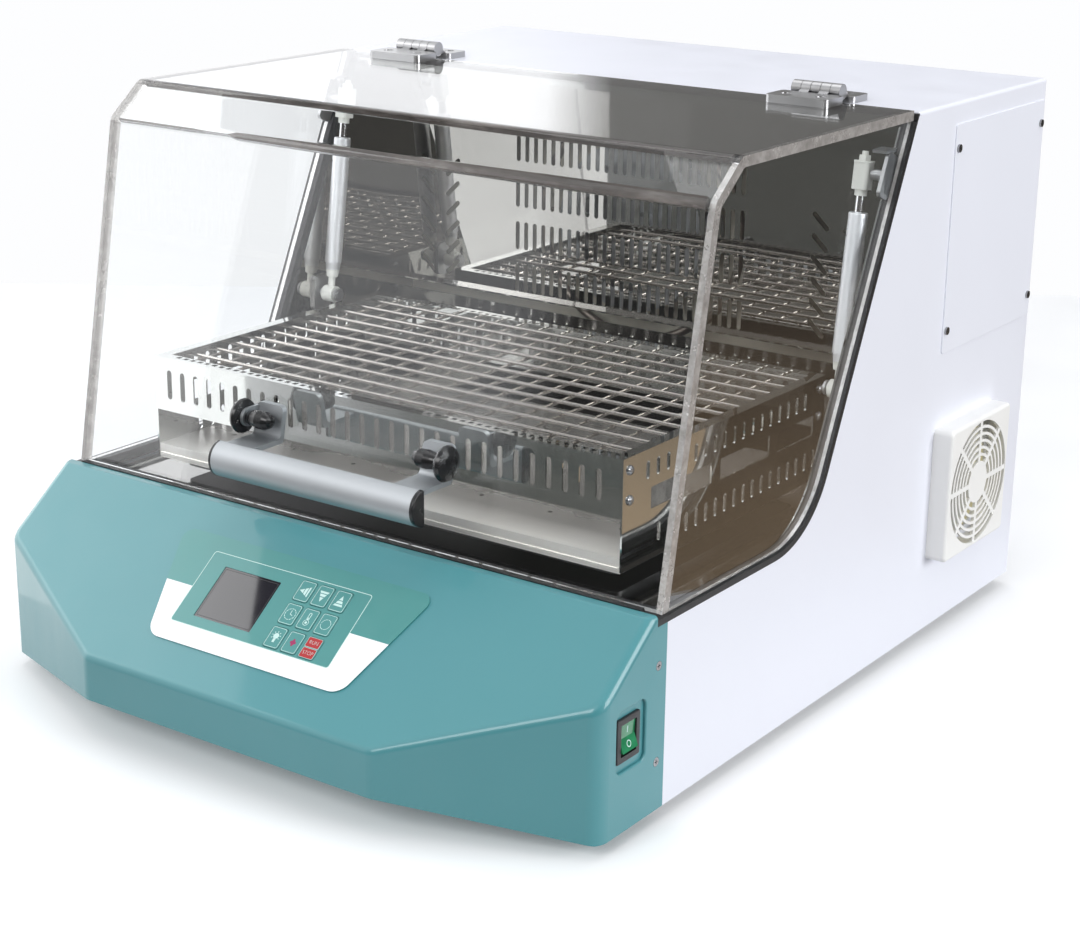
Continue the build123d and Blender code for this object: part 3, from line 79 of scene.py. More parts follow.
class Mat:
    """A Principled material with helpers for procedural colour, roughness and bump."""

    def __init__(self, name, color=(0.8, 0.8, 0.8, 1), rough=0.5, metal=0.0, **sockets):
        self.m = bpy.data.materials.new(name)
        self.m.use_nodes = True
        self.t = self.m.node_tree
        self.p = self.t.nodes["Principled BSDF"]
        self.p.inputs["Base Color"].default_value = color
        self.p.inputs["Roughness"].default_value = rough
        self.p.inputs["Metallic"].default_value = metal
        for k, v in sockets.items():
            self.p.inputs[k.replace("_", " ")].default_value = v
        self.m.diffuse_color = color
        self._co = {}

    def n(self, kind, **props):
        node = self.t.nodes.new(kind)
        for k, v in props.items():
            setattr(node, k, v)
        return node

    def link(self, a, b):
        self.t.links.new(a, b)

    def coords(self, scale=(1, 1, 1)):
        key = tuple(scale)
        if key not in self._co:
            tc = self.n("ShaderNodeTexCoord")
            mp = self.n("ShaderNodeMapping")
            mp.inputs["Scale"].default_value = scale
            self.link(tc.outputs["Object"], mp.inputs["Vector"])
            self._co[key] = mp.outputs["Vector"]
        return self._co[key]

    def noise(self, scale, detail=2.0, rough=0.5, stretch=(1, 1, 1)):
        t = self.n("ShaderNodeTexNoise")
        t.inputs["Scale"].default_value = scale
        t.inputs["Detail"].default_value = detail
        t.inputs["Roughness"].default_value = rough
        self.link(self.coords(stretch), t.inputs["Vector"])
        return t.outputs["Fac"]

    def ramp(self, fac, stops):
        r = self.n("ShaderNodeValToRGB")
        e = r.color_ramp.elements
        while len(e) < len(stops):
            e.new(0.5)
        for i, (pos, col) in enumerate(stops):
            e[i].position = pos
            e[i].color = col if len(col) == 4 else (*col, 1)
        self.link(fac, r.inputs["Fac"])
        return r.outputs["Color"]

    def spread(self, fac, lo, hi, a=0.3, b=0.7):
        r = self.n("ShaderNodeMapRange")
        r.inputs["From Min"].default_value = a
        r.inputs["From Max"].default_value = b
        r.inputs["To Min"].default_value = lo
        r.inputs["To Max"].default_value = hi
        self.link(fac, r.inputs["Value"])
        return r.outputs["Result"]

    def color(self, out):
        self.link(out, self.p.inputs["Base Color"])
        return self

    def rough(self, out):
        self.link(out, self.p.inputs["Roughness"])
        return self

    def bump(self, fac, strength, dist):
        b = self.n("ShaderNodeBump")
        b.inputs["Strength"].default_value = strength
        b.inputs["Distance"].default_value = dist
        self.link(fac, b.inputs["Height"])
        prev = self.p.inputs["Normal"]
        if prev.is_linked:
            self.link(prev.links[0].from_socket, b.inputs["Normal"])
        self.link(b.outputs["Normal"], self.p.inputs["Normal"])
        return self


def tint(c, k):
    return (min(c[0] * k, 1), min(c[1] * k, 1), min(c[2] * k, 1), 1)


def painted(name, col, rough, orange=0.00025, coat=0.0, var=0.03, wear=0.06, coat_rough=0.08, peel=420.0):
    m = Mat(name, col, rough, 0.0)
    m.p.inputs["Coat Weight"].default_value = coat
    m.p.inputs["Coat Roughness"].default_value = coat_rough
    cloud = m.noise(5.0, 3, 0.55)
    m.color(m.ramp(cloud, [(0.3, tint(col, 1 - var)), (0.7, tint(col, 1 + var))]))
    smear = m.noise(22.0, 4, 0.6, (1, 1, 0.45))
    m.rough(m.spread(smear, rough - wear, rough + wear))
    m.bump(m.noise(peel, 2, 0.5), 0.35, orange)
    return m.m


def steel(name, col, r0, r1, wave=0.0, wave_scale=6.0, grain=None, grain_s=0.25, dirt=0.05):
    m = Mat(name, col, r0, 1.0)
    cloud = m.noise(9.0, 4, 0.6)
    m.color(m.ramp(cloud, [(0.3, tint(col, 1 - dirt)), (0.7, tint(col, 1 + dirt * 0.4))]))
    if grain:
        g = m.noise(55.0, 3, 0.65, grain)
        m.rough(m.spread(g, r0, r1))
        m.bump(g, grain_s, 0.00004)
    else:
        m.rough(m.spread(m.noise(14.0, 4, 0.65), r0, r1))
    if wave:
        m.bump(m.noise(wave_scale, 1.5, 0.4), 1.0, wave)
    return m.m


def plastic(name, col, rough, grain=900.0, depth=0.00005, coat=0.0, var=0.05):
    m = Mat(name, col, rough, 0.0)
    m.p.inputs["Coat Weight"].default_value = coat
    m.color(m.ramp(m.noise(30.0, 3, 0.6), [(0.3, tint(col, 1 - var)), (0.7, tint(col, 1 + var))]))
    m.rough(m.spread(m.noise(60.0, 3, 0.6), rough - 0.05, rough + 0.07))
    m.bump(m.noise(grain, 2, 0.6), 0.5, depth)
    return m.m


WHITE = painted("white_powder_coat", srgb(232, 234, 243), 0.40, orange=0.00018, var=0.008, wear=0.05)
WHITE_INNER = painted("white_frame_coat", srgb(214, 218, 226), 0.42, orange=0.00018, var=0.02)
TEAL = painted("teal_gloss_shell", srgb(68, 138, 145), 0.44, orange=0.00006, coat=0.55, var=0.018, wear=0.05, coat_rough=0.06, peel=300.0)
BASE_ZINC = steel("zinc_sheet", (0.56, 0.57, 0.58, 1), 0.28, 0.5, grain=(1, 1, 1), dirt=0.12)
RUBBER = plastic("black_rubber", (0.012, 0.012, 0.013, 1), 0.62, grain=700, depth=0.00012)
SEAL = plastic("seal_rubber", (0.010, 0.010, 0.011, 1), 0.42, grain=500, depth=0.00008)
MIRROR = steel("mirror_stainless", (0.60, 0.585, 0.56, 1), 0.008, 0.03, wave=0.0004, wave_scale=5.0, dirt=0.05)
FLOOR_STEEL = steel("floor_stainless", (0.38, 0.37, 0.355, 1), 0.02, 0.08, wave=0.0004, wave_scale=6.0, dirt=0.10)
RACK = steel("rack_stainless", (0.62, 0.63, 0.61, 1), 0.015, 0.06, wave=0.0003, wave_scale=12.0, dirt=0.06)


def deck_steel():
    """Matt sheet that has been rubbed bright under the wires; its colour is painted darker towards the back, as painted
    shade under the rack.
    """
    m = Mat("deck_stainless", (0.86, 0.83, 0.78, 1), 0.3, 0.70)
    cloud = m.noise(9.0, 4, 0.6)
    sep_ = m.n("ShaderNodeSeparateXYZ")
    m.link(m.coords((1, 1, 1)), sep_.inputs["Vector"])
    # painted shade: the colour runs from a bright front apron to a dark inner field under the wires and rack
    painted_shade_tone = m.n("ShaderNodeMix", data_type="RGBA")
    m.link(m.spread(sep_.outputs["Y"], 0.0, 1.0, (40 - 227.5) / 1000, (75 - 227.5) / 1000), painted_shade_tone.inputs[0])
    m.link(m.ramp(cloud, [(0.3, (0.86, 0.83, 0.78, 1)), (0.7, (0.95, 0.925, 0.88, 1))]), painted_shade_tone.inputs[6])
    m.link(m.ramp(cloud, [(0.3, (0.38, 0.36, 0.335, 1)), (0.7, (0.50, 0.475, 0.45, 1))]), painted_shade_tone.inputs[7])
    m.color(painted_shade_tone.outputs[2])
    back = m.spread(sep_.outputs["Y"], 0.36, 0.13, (70 - 227.5) / 1000, (140 - 227.5) / 1000)
    add = m.n("ShaderNodeMath", operation="ADD")
    m.link(back, add.inputs[0])
    m.link(m.spread(m.noise(14.0, 4, 0.65), -0.03, 0.04), add.inputs[1])
    m.rough(add.outputs["Value"])
    m.bump(m.noise(9.0, 1.5, 0.4), 1.0, 0.0004)
    return m.m


DECK = deck_steel()
WIRE = steel("drawn_wire", (0.50, 0.47, 0.44, 1), 0.12, 0.24, dirt=0.12)
ALU = steel("satin_aluminium", (0.43, 0.45, 0.468, 1), 0.44, 0.56, dirt=0.05)
HINGE = steel("cast_hinge", (0.52, 0.52, 0.525, 1), 0.26, 0.38, dirt=0.08)
SCREW = steel("zinc_screw", (0.36, 0.36, 0.37, 1), 0.18, 0.34, dirt=0.15)
BLACK_GLOSS = plastic("black_knob_plastic", (0.010, 0.010, 0.011, 1), 0.26, grain=300, depth=0.00005)
BLACK = plastic("black_plastic", (0.018, 0.018, 0.020, 1), 0.42)
FAN_WHITE = plastic("white_guard_plastic", srgb(240, 240, 238), 0.38, depth=0.00003, var=0.01)
FAN_BEIGE_PAINTED_GLOW = plastic("aged_fan_plastic_painted_glow", srgb(214, 208, 178), 0.45, depth=0.00004, var=0.04)
# painted glow: the pale wheel is given a little emission that stands in for the light falling in from behind
FAN_BEIGE_PAINTED_GLOW.node_tree.nodes["Principled BSDF"].inputs["Emission Color"].default_value = srgb(214, 208, 178)
FAN_BEIGE_PAINTED_GLOW.node_tree.nodes["Principled BSDF"].inputs["Emission Strength"].default_value = 0.30
STRUT = steel("strut_silver_paint", (0.76, 0.765, 0.78, 1), 0.44, 0.52, dirt=0.03)
STRUT_END = plastic("strut_white_nylon", srgb(206, 206, 200), 0.42, depth=0.00003, var=0.02)
ROD = steel("hard_chrome", (0.78, 0.78, 0.79, 1), 0.06, 0.12, dirt=0.03)
BOARD = plastic("solder_mask", (0.02, 0.12, 0.05, 1), 0.35)
HEATER = steel("heat_tinted", (0.35, 0.30, 0.26, 1), 0.3, 0.5, dirt=0.25)
CAST = steel("cast_housing", (0.46, 0.47, 0.48, 1), 0.35, 0.55, dirt=0.12)
SHAFT = steel("machined_steel", (0.45, 0.46, 0.47, 1), 0.2, 0.35, dirt=0.1)
CARRIER = painted("black_carrier_coat", (0.014, 0.014, 0.016, 1), 0.35, orange=0.0002, var=0.1)
INSUL = plastic("insulation_foam", srgb(196, 190, 176), 0.9, grain=400, depth=0.0004)
PANEL_TEAL = plastic("panel_teal_film", srgb(67, 140, 138), 0.34, grain=1200, depth=0.00002, var=0.01, coat=0.45)
PANEL_WHITE = plastic("panel_white_film", srgb(244, 246, 250), 0.32, grain=1200, depth=0.00002, var=0.006)
PRINT_WHITE = plastic("print_white_ink", srgb(196, 226, 222), 0.45, grain=1500, depth=0.00001, var=0.02)
PRINT_RED = plastic("print_red_ink", srgb(168, 6, 16), 0.42, grain=1500, depth=0.00001, var=0.02)
PRINT_MAGENTA = plastic("print_magenta_ink", srgb(150, 6, 84), 0.42, grain=1500, depth=0.00001, var=0.02)


def lens_green():
    m = Mat("rocker_green_lens", srgb(34, 118, 78), 0.18)
    m.p.inputs["Coat Weight"].default_value = 0.5
    m.p.inputs["Emission Color"].default_value = srgb(40, 190, 110)
    m.p.inputs["Emission Strength"].default_value = 0.05
    m.color(m.ramp(m.noise(120.0, 2), [(0.3, srgb(28, 108, 70)), (0.7, srgb(46, 134, 92))]))
    m.rough(m.spread(m.noise(90.0, 2), 0.12, 0.24))
    return m.m


GREEN = lens_green()


def lcd_glass():
    m = Mat("lcd_window", (0.02, 0.022, 0.028, 1), 0.08)
    m.p.inputs["Coat Weight"].default_value = 1.0
    m.p.inputs["Coat Roughness"].default_value = 0.03
    m.p.inputs["IOR"].default_value = 1.55
    m.color(m.ramp(m.noise(18.0, 2), [(0.35, (0.016, 0.015, 0.021, 1)), (0.65, (0.023, 0.022, 0.030, 1))]))
    m.rough(m.spread(m.noise(60.0, 3), 0.015, 0.04))
    return m.m


LCD = lcd_glass()


def acrylic(name, tintc, haze, rough):
    """Clear acrylic sheet: bends and mirrors light, and lets the lamps through."""
    m = Mat(name, tintc, rough)
    m.p.inputs["Transmission Weight"].default_value = 1.0
    m.p.inputs["IOR"].default_value = 1.49
    m.rough(m.spread(m.noise(26.0, 4, 0.7), max(rough - 0.004, 0.0), rough + haze))
    m.bump(m.noise(2.6, 2, 0.5), 1.0, 0.0003)
    out = m.t.nodes["Material Output"]
    lp = m.n("ShaderNodeLightPath")
    tr = m.n("ShaderNodeBsdfTransparent")
    tr.inputs["Color"].default_value = (0.93, 0.95, 0.96, 1)
    mix = m.n("ShaderNodeMixShader")
    m.link(lp.outputs["Is Shadow Ray"], mix.inputs["Fac"])
    m.link(m.p.outputs["BSDF"], mix.inputs[1])
    m.link(tr.outputs["BSDF"], mix.inputs[2])
    m.link(mix.outputs["Shader"], out.inputs["Surface"])
    return m.m


ACRYLIC = acrylic("clear_acrylic", (0.965, 0.975, 0.98, 1), 0.002, 0.0)


def edge_acrylic():
    """Sawn and flame-polished edge: milky, streaked along the cut."""
    m = Mat("acrylic_cut_edge", (0.50, 0.47, 0.45, 1), 0.2)
    m.p.inputs["Transmission Weight"].default_value = 0.35
    m.p.inputs["IOR"].default_value = 1.49
    m.p.inputs["Coat Weight"].default_value = 0.6
    m.p.inputs["Coat Roughness"].default_value = 0.08
    f = m.noise(110.0, 4, 0.7, (1, 1, 1))
    m.color(m.ramp(f, [(0.30, (0.36, 0.335, 0.315, 1)), (0.50, (0.48, 0.45, 0.43, 1)), (0.70, (0.62, 0.59, 0.56, 1))]))
    m.rough(m.spread(m.noise(60.0, 4, 0.7), 0.12, 0.34))
    m.bump(m.noise(180.0, 3, 0.6), 0.5, 0.0002)
    return m.m


ACRYLIC_EDGE = edge_acrylic()


def put(material, *names):
    for n in names:
        ob = NODES[n]
        ob.data.materials.clear()
        ob.data.materials.append(material)


put(WHITE, "side_panel_left", "side_panel_right", "rear_cover", "access_panel")
put(BASE_ZINC, "base_pan", "power_supply", "drive_frame")
put(INSUL, "plenum_back")
put(TEAL, "front_panel")
put(RUBBER, "feet")
put(SEAL, "lid_seal")
put(MIRROR, "liner_sides", "rear_baffle")
put(FLOOR_STEEL, "chamber_floor")
put(RACK, "opening_frame")
put(RACK, "rack_frame")
put(WIRE, "rack_wires")
put(DECK, "platform_deck")
put(ACRYLIC, "lid_shell", "lid_sides")
put(HINGE, "hinge_leaves_front", "hinge_leaves_rear", "strut_mounts_upper", "strut_mounts_lower")
put(ALU, "handle_bar", "handle_arms")
put(BLACK_GLOSS, "knob_left", "knob_right", "handle_caps")
put(BLACK, "mains_inlet", "switch_bezel")
put(FAN_BEIGE_PAINTED_GLOW, "cooling_fan_frame", "cooling_fan_rotor")
put(FAN_WHITE, "fan_guard")
put(STRUT, "strut_cylinder_left", "strut_cylinder_right")
put(ROD, "strut_rod_left", "strut_rod_right")
put(SCREW, "case_screws")
put(PANEL_TEAL, "control_overlay", *[n for n in NODES if n.startswith("key_")])
put(LCD, "display")
put(GREEN, "rocker")
put(BOARD, "control_board")
put(HEATER, "heater")
put(CAST, "circulation_motor", "drive_motor", "circulation_rotor")
put(SHAFT, "main_crank", "idler_left", "idler_right")
put(CARRIER, "platform_carrier")


def second(node, material, test):
    """Faces of a CAD node that pass the test take a second material."""
    me = NODES[node].data
    me.materials.append(material)
    k = len(me.materials) - 1
    for p in me.polygons:
        if test(p.center, p.normal):
            p.material_index = k


# the rod's end fitting and the cylinder's eye are white nylon
for side, sx in (("left", -1), ("right", 1)):
    second("strut_rod_" + side, STRUT_END, lambda c, n: c.z > R(0, 0, 392).z)
    second("strut_cylinder_" + side, STRUT_END, lambda c, n: c.z < R(0, 0, 265).z)


# cut edges of the acrylic panes
def edge_of_shell(c, n):
    return abs(n.x) > 0.9


second("lid_shell", ACRYLIC_EDGE, edge_of_shell)
# rivet heads on the rack's side plates
second("rack_frame", SCREW, lambda c, n: abs(c.x - R(0, 0, 0).x) > 0.23412)
second("lid_sides", ACRYLIC_EDGE, lambda c, n: abs(n.x) < 0.5)


# ---------------------------------------------------------------------
# mesh helpers
# ---------------------------------------------------------------------
def new_mesh(name, verts, faces, material, body, smooth=False):
    me = bpy.data.meshes.new(name)
    me.from_pydata([tuple(v) for v in verts], [], faces)
    me.validate()
    me.update()
    ob = bpy.data.objects.new(name, me)
    bpy.context.scene.collection.objects.link(ob)
    me.materials.append(material)
    if smooth:
        for p in me.polygons:
            p.use_smooth = True
    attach(ob, body)
    return ob


class Plate:
    """Flat pieces drawn in a plane and given a small thickness along its normal."""

    def __init__(self, origin, xd, yd):
        self.o, self.x, self.y = origin, xd.normalized(), yd.normalized()
        self.nrm = self.x.cross(self.y)
        self.v, self.f = [], []

    def at(self, u, v, n):
        return self.o + (self.x * u + self.y * v + self.nrm * n) / 1000

    def poly(self, pts, n0, n1):
        k = len(self.v)
        m = len(pts)
        self.v += [self.at(u, v, n0) for u, v in pts] + [self.at(u, v, n1) for u, v in pts]
        self.f.append(tuple(range(k + m - 1, k - 1, -1)))
        self.f.append(tuple(range(k + m, k + 2 * m)))
        for i in range(m):
            j = (i + 1) % m
            self.f.append((k + i, k + j, k + m + j, k + m + i))

    def ring(self, outer, inner, n0, n1):
        k = len(self.v)
        m = len(outer)
        for pts, n in ((outer, n0), (inner, n0), (outer, n1), (inner, n1)):
            self.v += [self.at(u, v, n) for u, v in pts]
        for i in range(m):
            j = (i + 1) % m
            self.f += [(k + i, k + m + i, k + m + j, k + j),
                       (k + 2 * m + i, k + 2 * m + j, k + 3 * m + j, k + 3 * m + i),
                       (k + i, k + j, k + 2 * m + j, k + 2 * m + i),
                       (k + m + i, k + 3 * m + i, k + 3 * m + j, k + m + j)]

    def make(self, name, material, body, slot=None):
        ob = new_mesh(name, self.v, self.f, material, body)
        bm = bmesh.new()
        bm.from_mesh(ob.data)
        bmesh.ops.recalc_face_normals(bm, faces=bm.faces)
        bm.to_mesh(ob.data)
        bm.free()
        return ob


def rrect(cx, cy, w, h, r, k=6):
    pts = []
    for sx, sy, a0 in ((1, 1, 0), (-1, 1, 90), (-1, -1, 180), (1, -1, 270)):
        for i in range(k + 1):
            a = math.radians(a0 + 90 * i / k)
            pts.append((cx + sx * (w / 2 - r) + r * math.cos(a), cy + sy * (h / 2 - r) + r * math.sin(a)))
    return pts


def circle(cx, cy, r, k=40, a0=0.0):
    return [(cx + r * math.cos(math.radians(a0) + 2 * math.pi * i / k),
             cy + r * math.sin(math.radians(a0) + 2 * math.pi * i / k)) for i in range(k)]


def rounded(points, radii, k=7):
    """Closed polygon with each corner rounded to its own radius."""
    out = []
    n = len(points)
    for i in range(n):
        p, q, s, r = Vector(points[i - 1]), Vector(points[i]), Vector(points[(i + 1) % n]), radii[i]
        if r <= 0:
            out.append(tuple(q))
            continue
        a, b = (p - q).normalized(), (s - q).normalized()
        half = math.acos(max(-1, min(1, a.dot(b)))) / 2
        d = r / math.tan(half)
        c = q + (a + b).normalized() * (r / math.sin(half))
        v0, v1 = q + a * d - c, q + b * d - c
        a0 = math.atan2(v0.y, v0.x)
        da = math.atan2(v1.y, v1.x) - a0
        da = (da + math.pi) % (2 * math.pi) - math.pi
        for j in range(k + 1):
            t = a0 + da * j / k
            out.append((c.x + r * math.cos(t), c.y + r * math.sin(t)))
    return out


# ---------------------------------------------------------------------
# control panel artwork
# ---------------------------------------------------------------------
SLOPE = math.radians(37.47)
SO_Z = 151.5 - (81.7 - 21.0) * math.tan(SLOPE)
PO = R(-8.0, -81.7, SO_Z)
PX = Vector((1, 0, 0))
PY = Vector((0, math.cos(SLOPE), math.sin(SLOPE)))


def panel():
    return Plate(PO, PX, PY)


def hw(s):
    return 96.3 + (127 - 96.3) * (s + 48.5) / 97.0


# white band round the lower half, cut out for the inner field
WB = 0.4
FX = 4.6
outline = rounded([(FX - hw(WB), WB), (FX - 96.3, -48.5), (FX + 96.3, -48.5), (FX + hw(WB), WB)], [0, 15, 15, 0])
outer_left = outline
band = panel()
L0, L1, S0, S1 = -79.8, 79.6, -32.0, 34.9
path = list(outer_left) + [(L1, WB), (L1, S0 + 2.2), (L1 - 0.7, S0 + 0.7), (L1 - 2.2, S0),
                           (L0 + 2.2, S0), (L0 + 0.7, S0 + 0.7), (L0, S0 + 2.2), (L0, WB)]
band.poly(path, 1.0, 1.06)
band.make("panel_white_band", PANEL_WHITE, "cabinet", "overlay_film")

frame_line = panel()
frame_line.ring(rrect((L0 + L1) / 2, (S0 + S1) / 2, L1 - L0, S1 - S0, 2.6),
                rrect((L0 + L1) / 2, (S0 + S1) / 2, L1 - L0 - 1.15, S1 - S0 - 1.15, 2.05), 1.0, 1.08)
frame_line.make("panel_outline", PRINT_WHITE, "cabinet", "overlay_film")

# fine moulded edge of the film
rim = panel()
full = [(FX - 127, 48.5), (FX - 96.3, -48.5), (FX + 96.3, -48.5), (FX + 127, 48.5)]
rim_o = rounded(full, [9, 15, 15, 9])
rim_i = rounded([(FX - 126.2, 47.9), (FX - 95.8, -47.9), (FX + 95.8, -47.9), (FX + 126.2, 47.9)], [8.5, 14.5, 14.5, 8.5])
rim.ring(rim_o, rim_i, 0.9, 1.03)
rim.make("panel_film_edge", PANEL_TEAL, "cabinet", "overlay_film")

# inner rim and glass lines of the display
lx0, lx1, ly0, ly1 = -62.2, -3.6, -23.4, 24.6
lcx, lcy, lw, lh = (lx0 + lx1) / 2, (ly0 + ly1) / 2, lx1 - lx0, ly1 - ly0
lcd_rim = panel()
lcd_rim.ring(rrect(lcx, lcy, lw + 0.6, lh + 0.6, 0.5), rrect(lcx, lcy, lw - 1.0, lh - 1.0, 0.3), 0.45, 1.04)
lcd_rim.make("display_rim", PANEL_TEAL, "cabinet", "overlay_film")
lcd_in = panel()
lcd_in.ring(rrect(lcx, lcy, lw - 4.2, lh - 4.2, 0.4), rrect(lcx, lcy, lw - 5.0, lh - 5.0, 0.3), 0.6, 0.64)
lcd_in.make("display_active_edge", BLACK, "cabinet", "display_glass")

KEY_COLS = [21.0, 38.4, 55.9]
KEY_ROWS = [22.5, 1.0, -20.5]
KEYS = [["key_left", "key_down", "key_up"],
        ["key_timer", "key_temperature", "key_speed"],
        ["key_lamp", "key_mode", "key_run_stop"]]
KT0, KT1 = 1.48, 1.54


def bar(pl, x0, y0, x1, y1, w, n0=KT0, n1=KT1):
    d = Vector((x1 - x0, y1 - y0))
    l = d.length
    d /= l
    q = Vector((-d.y, d.x)) * w / 2
    pl.poly([(x0 - q.x, y0 - q.y), (x1 - q.x, y1 - q.y), (x1 + q.x, y1 + q.y), (x0 + q.x, y0 + q.y)], n0, n1)


def text_mesh(name, body_text, size, cx, cy, n, material, body, bold=0.0, squeeze=1.0):
    cu = bpy.data.curves.new(name + "_curve", "FONT")
    cu.body = body_text
    cu.size = size / 1000
    cu.align_x = "CENTER"
    cu.align_y = "CENTER"
    cu.offset = bold / 1000
    cu.extrude = 0.03 / 1000
    cu.space_character = 1.02
    tmp = bpy.data.objects.new(name + "_tmp", cu)
    bpy.context.scene.collection.objects.link(tmp)
    m = Matrix((PX, PY, PX.cross(PY))).transposed().to_4x4()
    m.translation = PO + (PX * cx + PY * cy + PX.cross(PY) * n) / 1000
    tmp.matrix_world = m @ Matrix.Diagonal((squeeze, 1, 1, 1))
    bpy.context.view_layer.update()
    dg = bpy.context.evaluated_depsgraph_get()
    me = bpy.data.meshes.new_from_object(tmp.evaluated_get(dg))
    me.transform(tmp.matrix_world)
    bpy.data.objects.remove(tmp)
    ob = bpy.data.objects.new(name, me)
    me.name = name
    bpy.context.scene.collection.objects.link(ob)
    me.materials.clear()
    me.materials.append(material)
    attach(ob, body)
    return ob


for ri, ky in enumerate(KEY_ROWS):
    for ci, kx in enumerate(KEY_COLS):
        key = KEYS[ri][ci]
        pl = panel()
        if key != "key_run_stop":
            pl.ring(rrect(kx, ky, 13.2, 17.2, 1.7), rrect(kx, ky, 12.5, 16.5, 1.35), KT0, KT1)
        if key == "key_left":
            for a, b in ((-5.0, -1.0), (-0.3, 2.0), (2.7, 4.2)):
                ha, hb = (a + 5.0) * 0.5, (b + 5.0) * 0.5
                pts = [(kx + a, ky + ha), (kx + a, ky - ha), (kx + b, ky - hb), (kx + b, ky + hb)]
                if ha < 0.01:
                    pts = [(kx + a, ky), (kx + b, ky - hb), (kx + b, ky + hb)]
                pl.poly(pts, KT0, KT1)
        elif key in ("key_down", "key_up"):
            s = -1 if key == "key_down" else 1
            for a, b in ((5.0, 1.0), (0.3, -1.9), (-2.6, -4.4)):
                ha, hb = (5.0 - a) * 0.46, (5.0 - b) * 0.46
                pts = [(kx - ha, ky + s * a), (kx + ha, ky + s * a), (kx + hb, ky + s * b), (kx - hb, ky + s * b)]
                if ha < 0.01:
                    pts = [(kx, ky + s * a), (kx + hb, ky + s * b), (kx - hb, ky + s * b)]
                pl.poly(pts, KT0, KT1)
        elif key == "key_timer":
            for i in range(12):
                a = math.radians(30 * i)
                a0, a1 = a - 0.20, a + 0.20
                pl.poly([(kx + 5.1 * math.cos(a0), ky + 5.1 * math.sin(a0)), (kx + 5.1 * math.cos(a1), ky + 5.1 * math.sin(a1)),
                         (kx + 4.6 * math.cos(a1), ky + 4.6 * math.sin(a1)), (kx + 4.6 * math.cos(a0), ky + 4.6 * math.sin(a0))], KT0, KT1)
            bar(pl, kx, ky, kx, ky + 3.4, 0.5)
            bar(pl, kx, ky, kx + 2.4, ky - 0.8, 0.5)
        elif key == "key_temperature":
            pl.ring(circle(kx, ky - 3.0, 2.6), circle(kx, ky - 3.0, 2.15), KT0, KT1)
            pl.ring(rrect(kx, ky + 2.6, 2.6, 6.4, 1.2), rrect(kx, ky + 2.6, 1.5, 5.3, 0.7), KT0, KT1)
            bar(pl, kx, ky - 0.8, kx, ky + 1.6, 0.7)
            pl.poly(circle(kx, ky - 3.0, 1.1, 16), KT0, KT1)
        elif key == "key_speed":
            for a0 in (4, 94, 184, 274):
                st = [math.radians(a0 + 82 * i / 8) for i in range(9)]
                pl.poly([(kx + 4.5 * math.cos(t), ky + 4.5 * math.sin(t)) for t in st] +
                        [(kx + 4.1 * math.cos(t), ky + 4.1 * math.sin(t)) for t in reversed(st)], KT0, KT1)
        elif key == "key_lamp":
            pl.poly(circle(kx, ky + 1.2, 2.5, 24), KT0, KT1)
            pl.poly([(kx - 1.1, ky - 0.8), (kx - 1.1, ky - 4.4), (kx + 1.1, ky - 4.4), (kx + 1.1, ky - 0.8)], KT0, KT1)
            for i in range(7):
                a = math.radians(-30 + 40 * i)
                bar(pl, kx + 3.1 * math.cos(a), ky + 1.2 + 3.1 * math.sin(a), kx + 4.2 * math.cos(a), ky + 1.2 + 4.2 * math.sin(a), 0.6)
        if pl.v:
            pl.make(key + "_print", PRINT_WHITE, key, "key_plastic")
        if key == "key_mode":
            fl = panel()
            pts = []
            for i in range(48):
                t = 2 * math.pi * i / 48
                r = 2.7 + 0.6 * math.cos(4 * t)
                pts.append((kx + r * math.cos(t) * 0.86, ky + r * math.sin(t)))
            fl.poly(pts, KT0, KT1)
            fl.make(key + "_flower", PRINT_MAGENTA, key, "key_plastic")
        if key == "key_run_stop":
            red = panel()
            for sy, nm in ((4.6, "RUN"), (-4.6, "STOP")):
                red.poly(rrect(kx, ky + sy, 12.6, 8.0, 1.0), KT0, KT1)
                lines = panel()
                lines.ring(rrect(kx, ky + sy, 13.2, 8.6, 1.2), rrect(kx, ky + sy, 12.7, 8.1, 1.0), KT0, KT1)
                lines.make("key_edge_" + nm, PRINT_WHITE, key, "key_plastic")
                text_mesh("key_text_" + nm, nm, 4.6, kx, ky + sy, KT1 + 0.02, PRINT_WHITE, key, -0.10, 0.90)
            red.make("key_red_fields", PRINT_RED, key, "key_plastic")

# ---------------------------------------------------------------------
# bonded folds of the lid: the sawn edge of each pane shows through the next
# ---------------------------------------------------------------------
def seam_material():
    m = Mat("bonded_seam", (0.12, 0.105, 0.095, 1), 0.22)
    m.p.inputs["Coat Weight"].default_value = 0.3
    m.p.inputs["Coat Roughness"].default_value = 0.06
    m.color(m.ramp(m.noise(40.0, 4, 0.7, (0.25, 1, 1)), [(0.3, (0.030, 0.025, 0.022, 1)), (0.55, (0.085, 0.073, 0.066, 1)), (0.76, (0.22, 0.20, 0.185, 1))]))
    m.rough(m.spread(m.noise(60.0, 3, 0.6, (0.3, 1, 1)), 0.12, 0.32))
    m.bump(m.noise(120.0, 3, 0.6, (0.2, 1, 1)), 0.6, 0.0002)
    return m.m


SEAM = seam_material()
LIDP = [(-3.0, 148.4), (50.2, 433.0), (84.3, 460.6), (348.0, 460.6)]


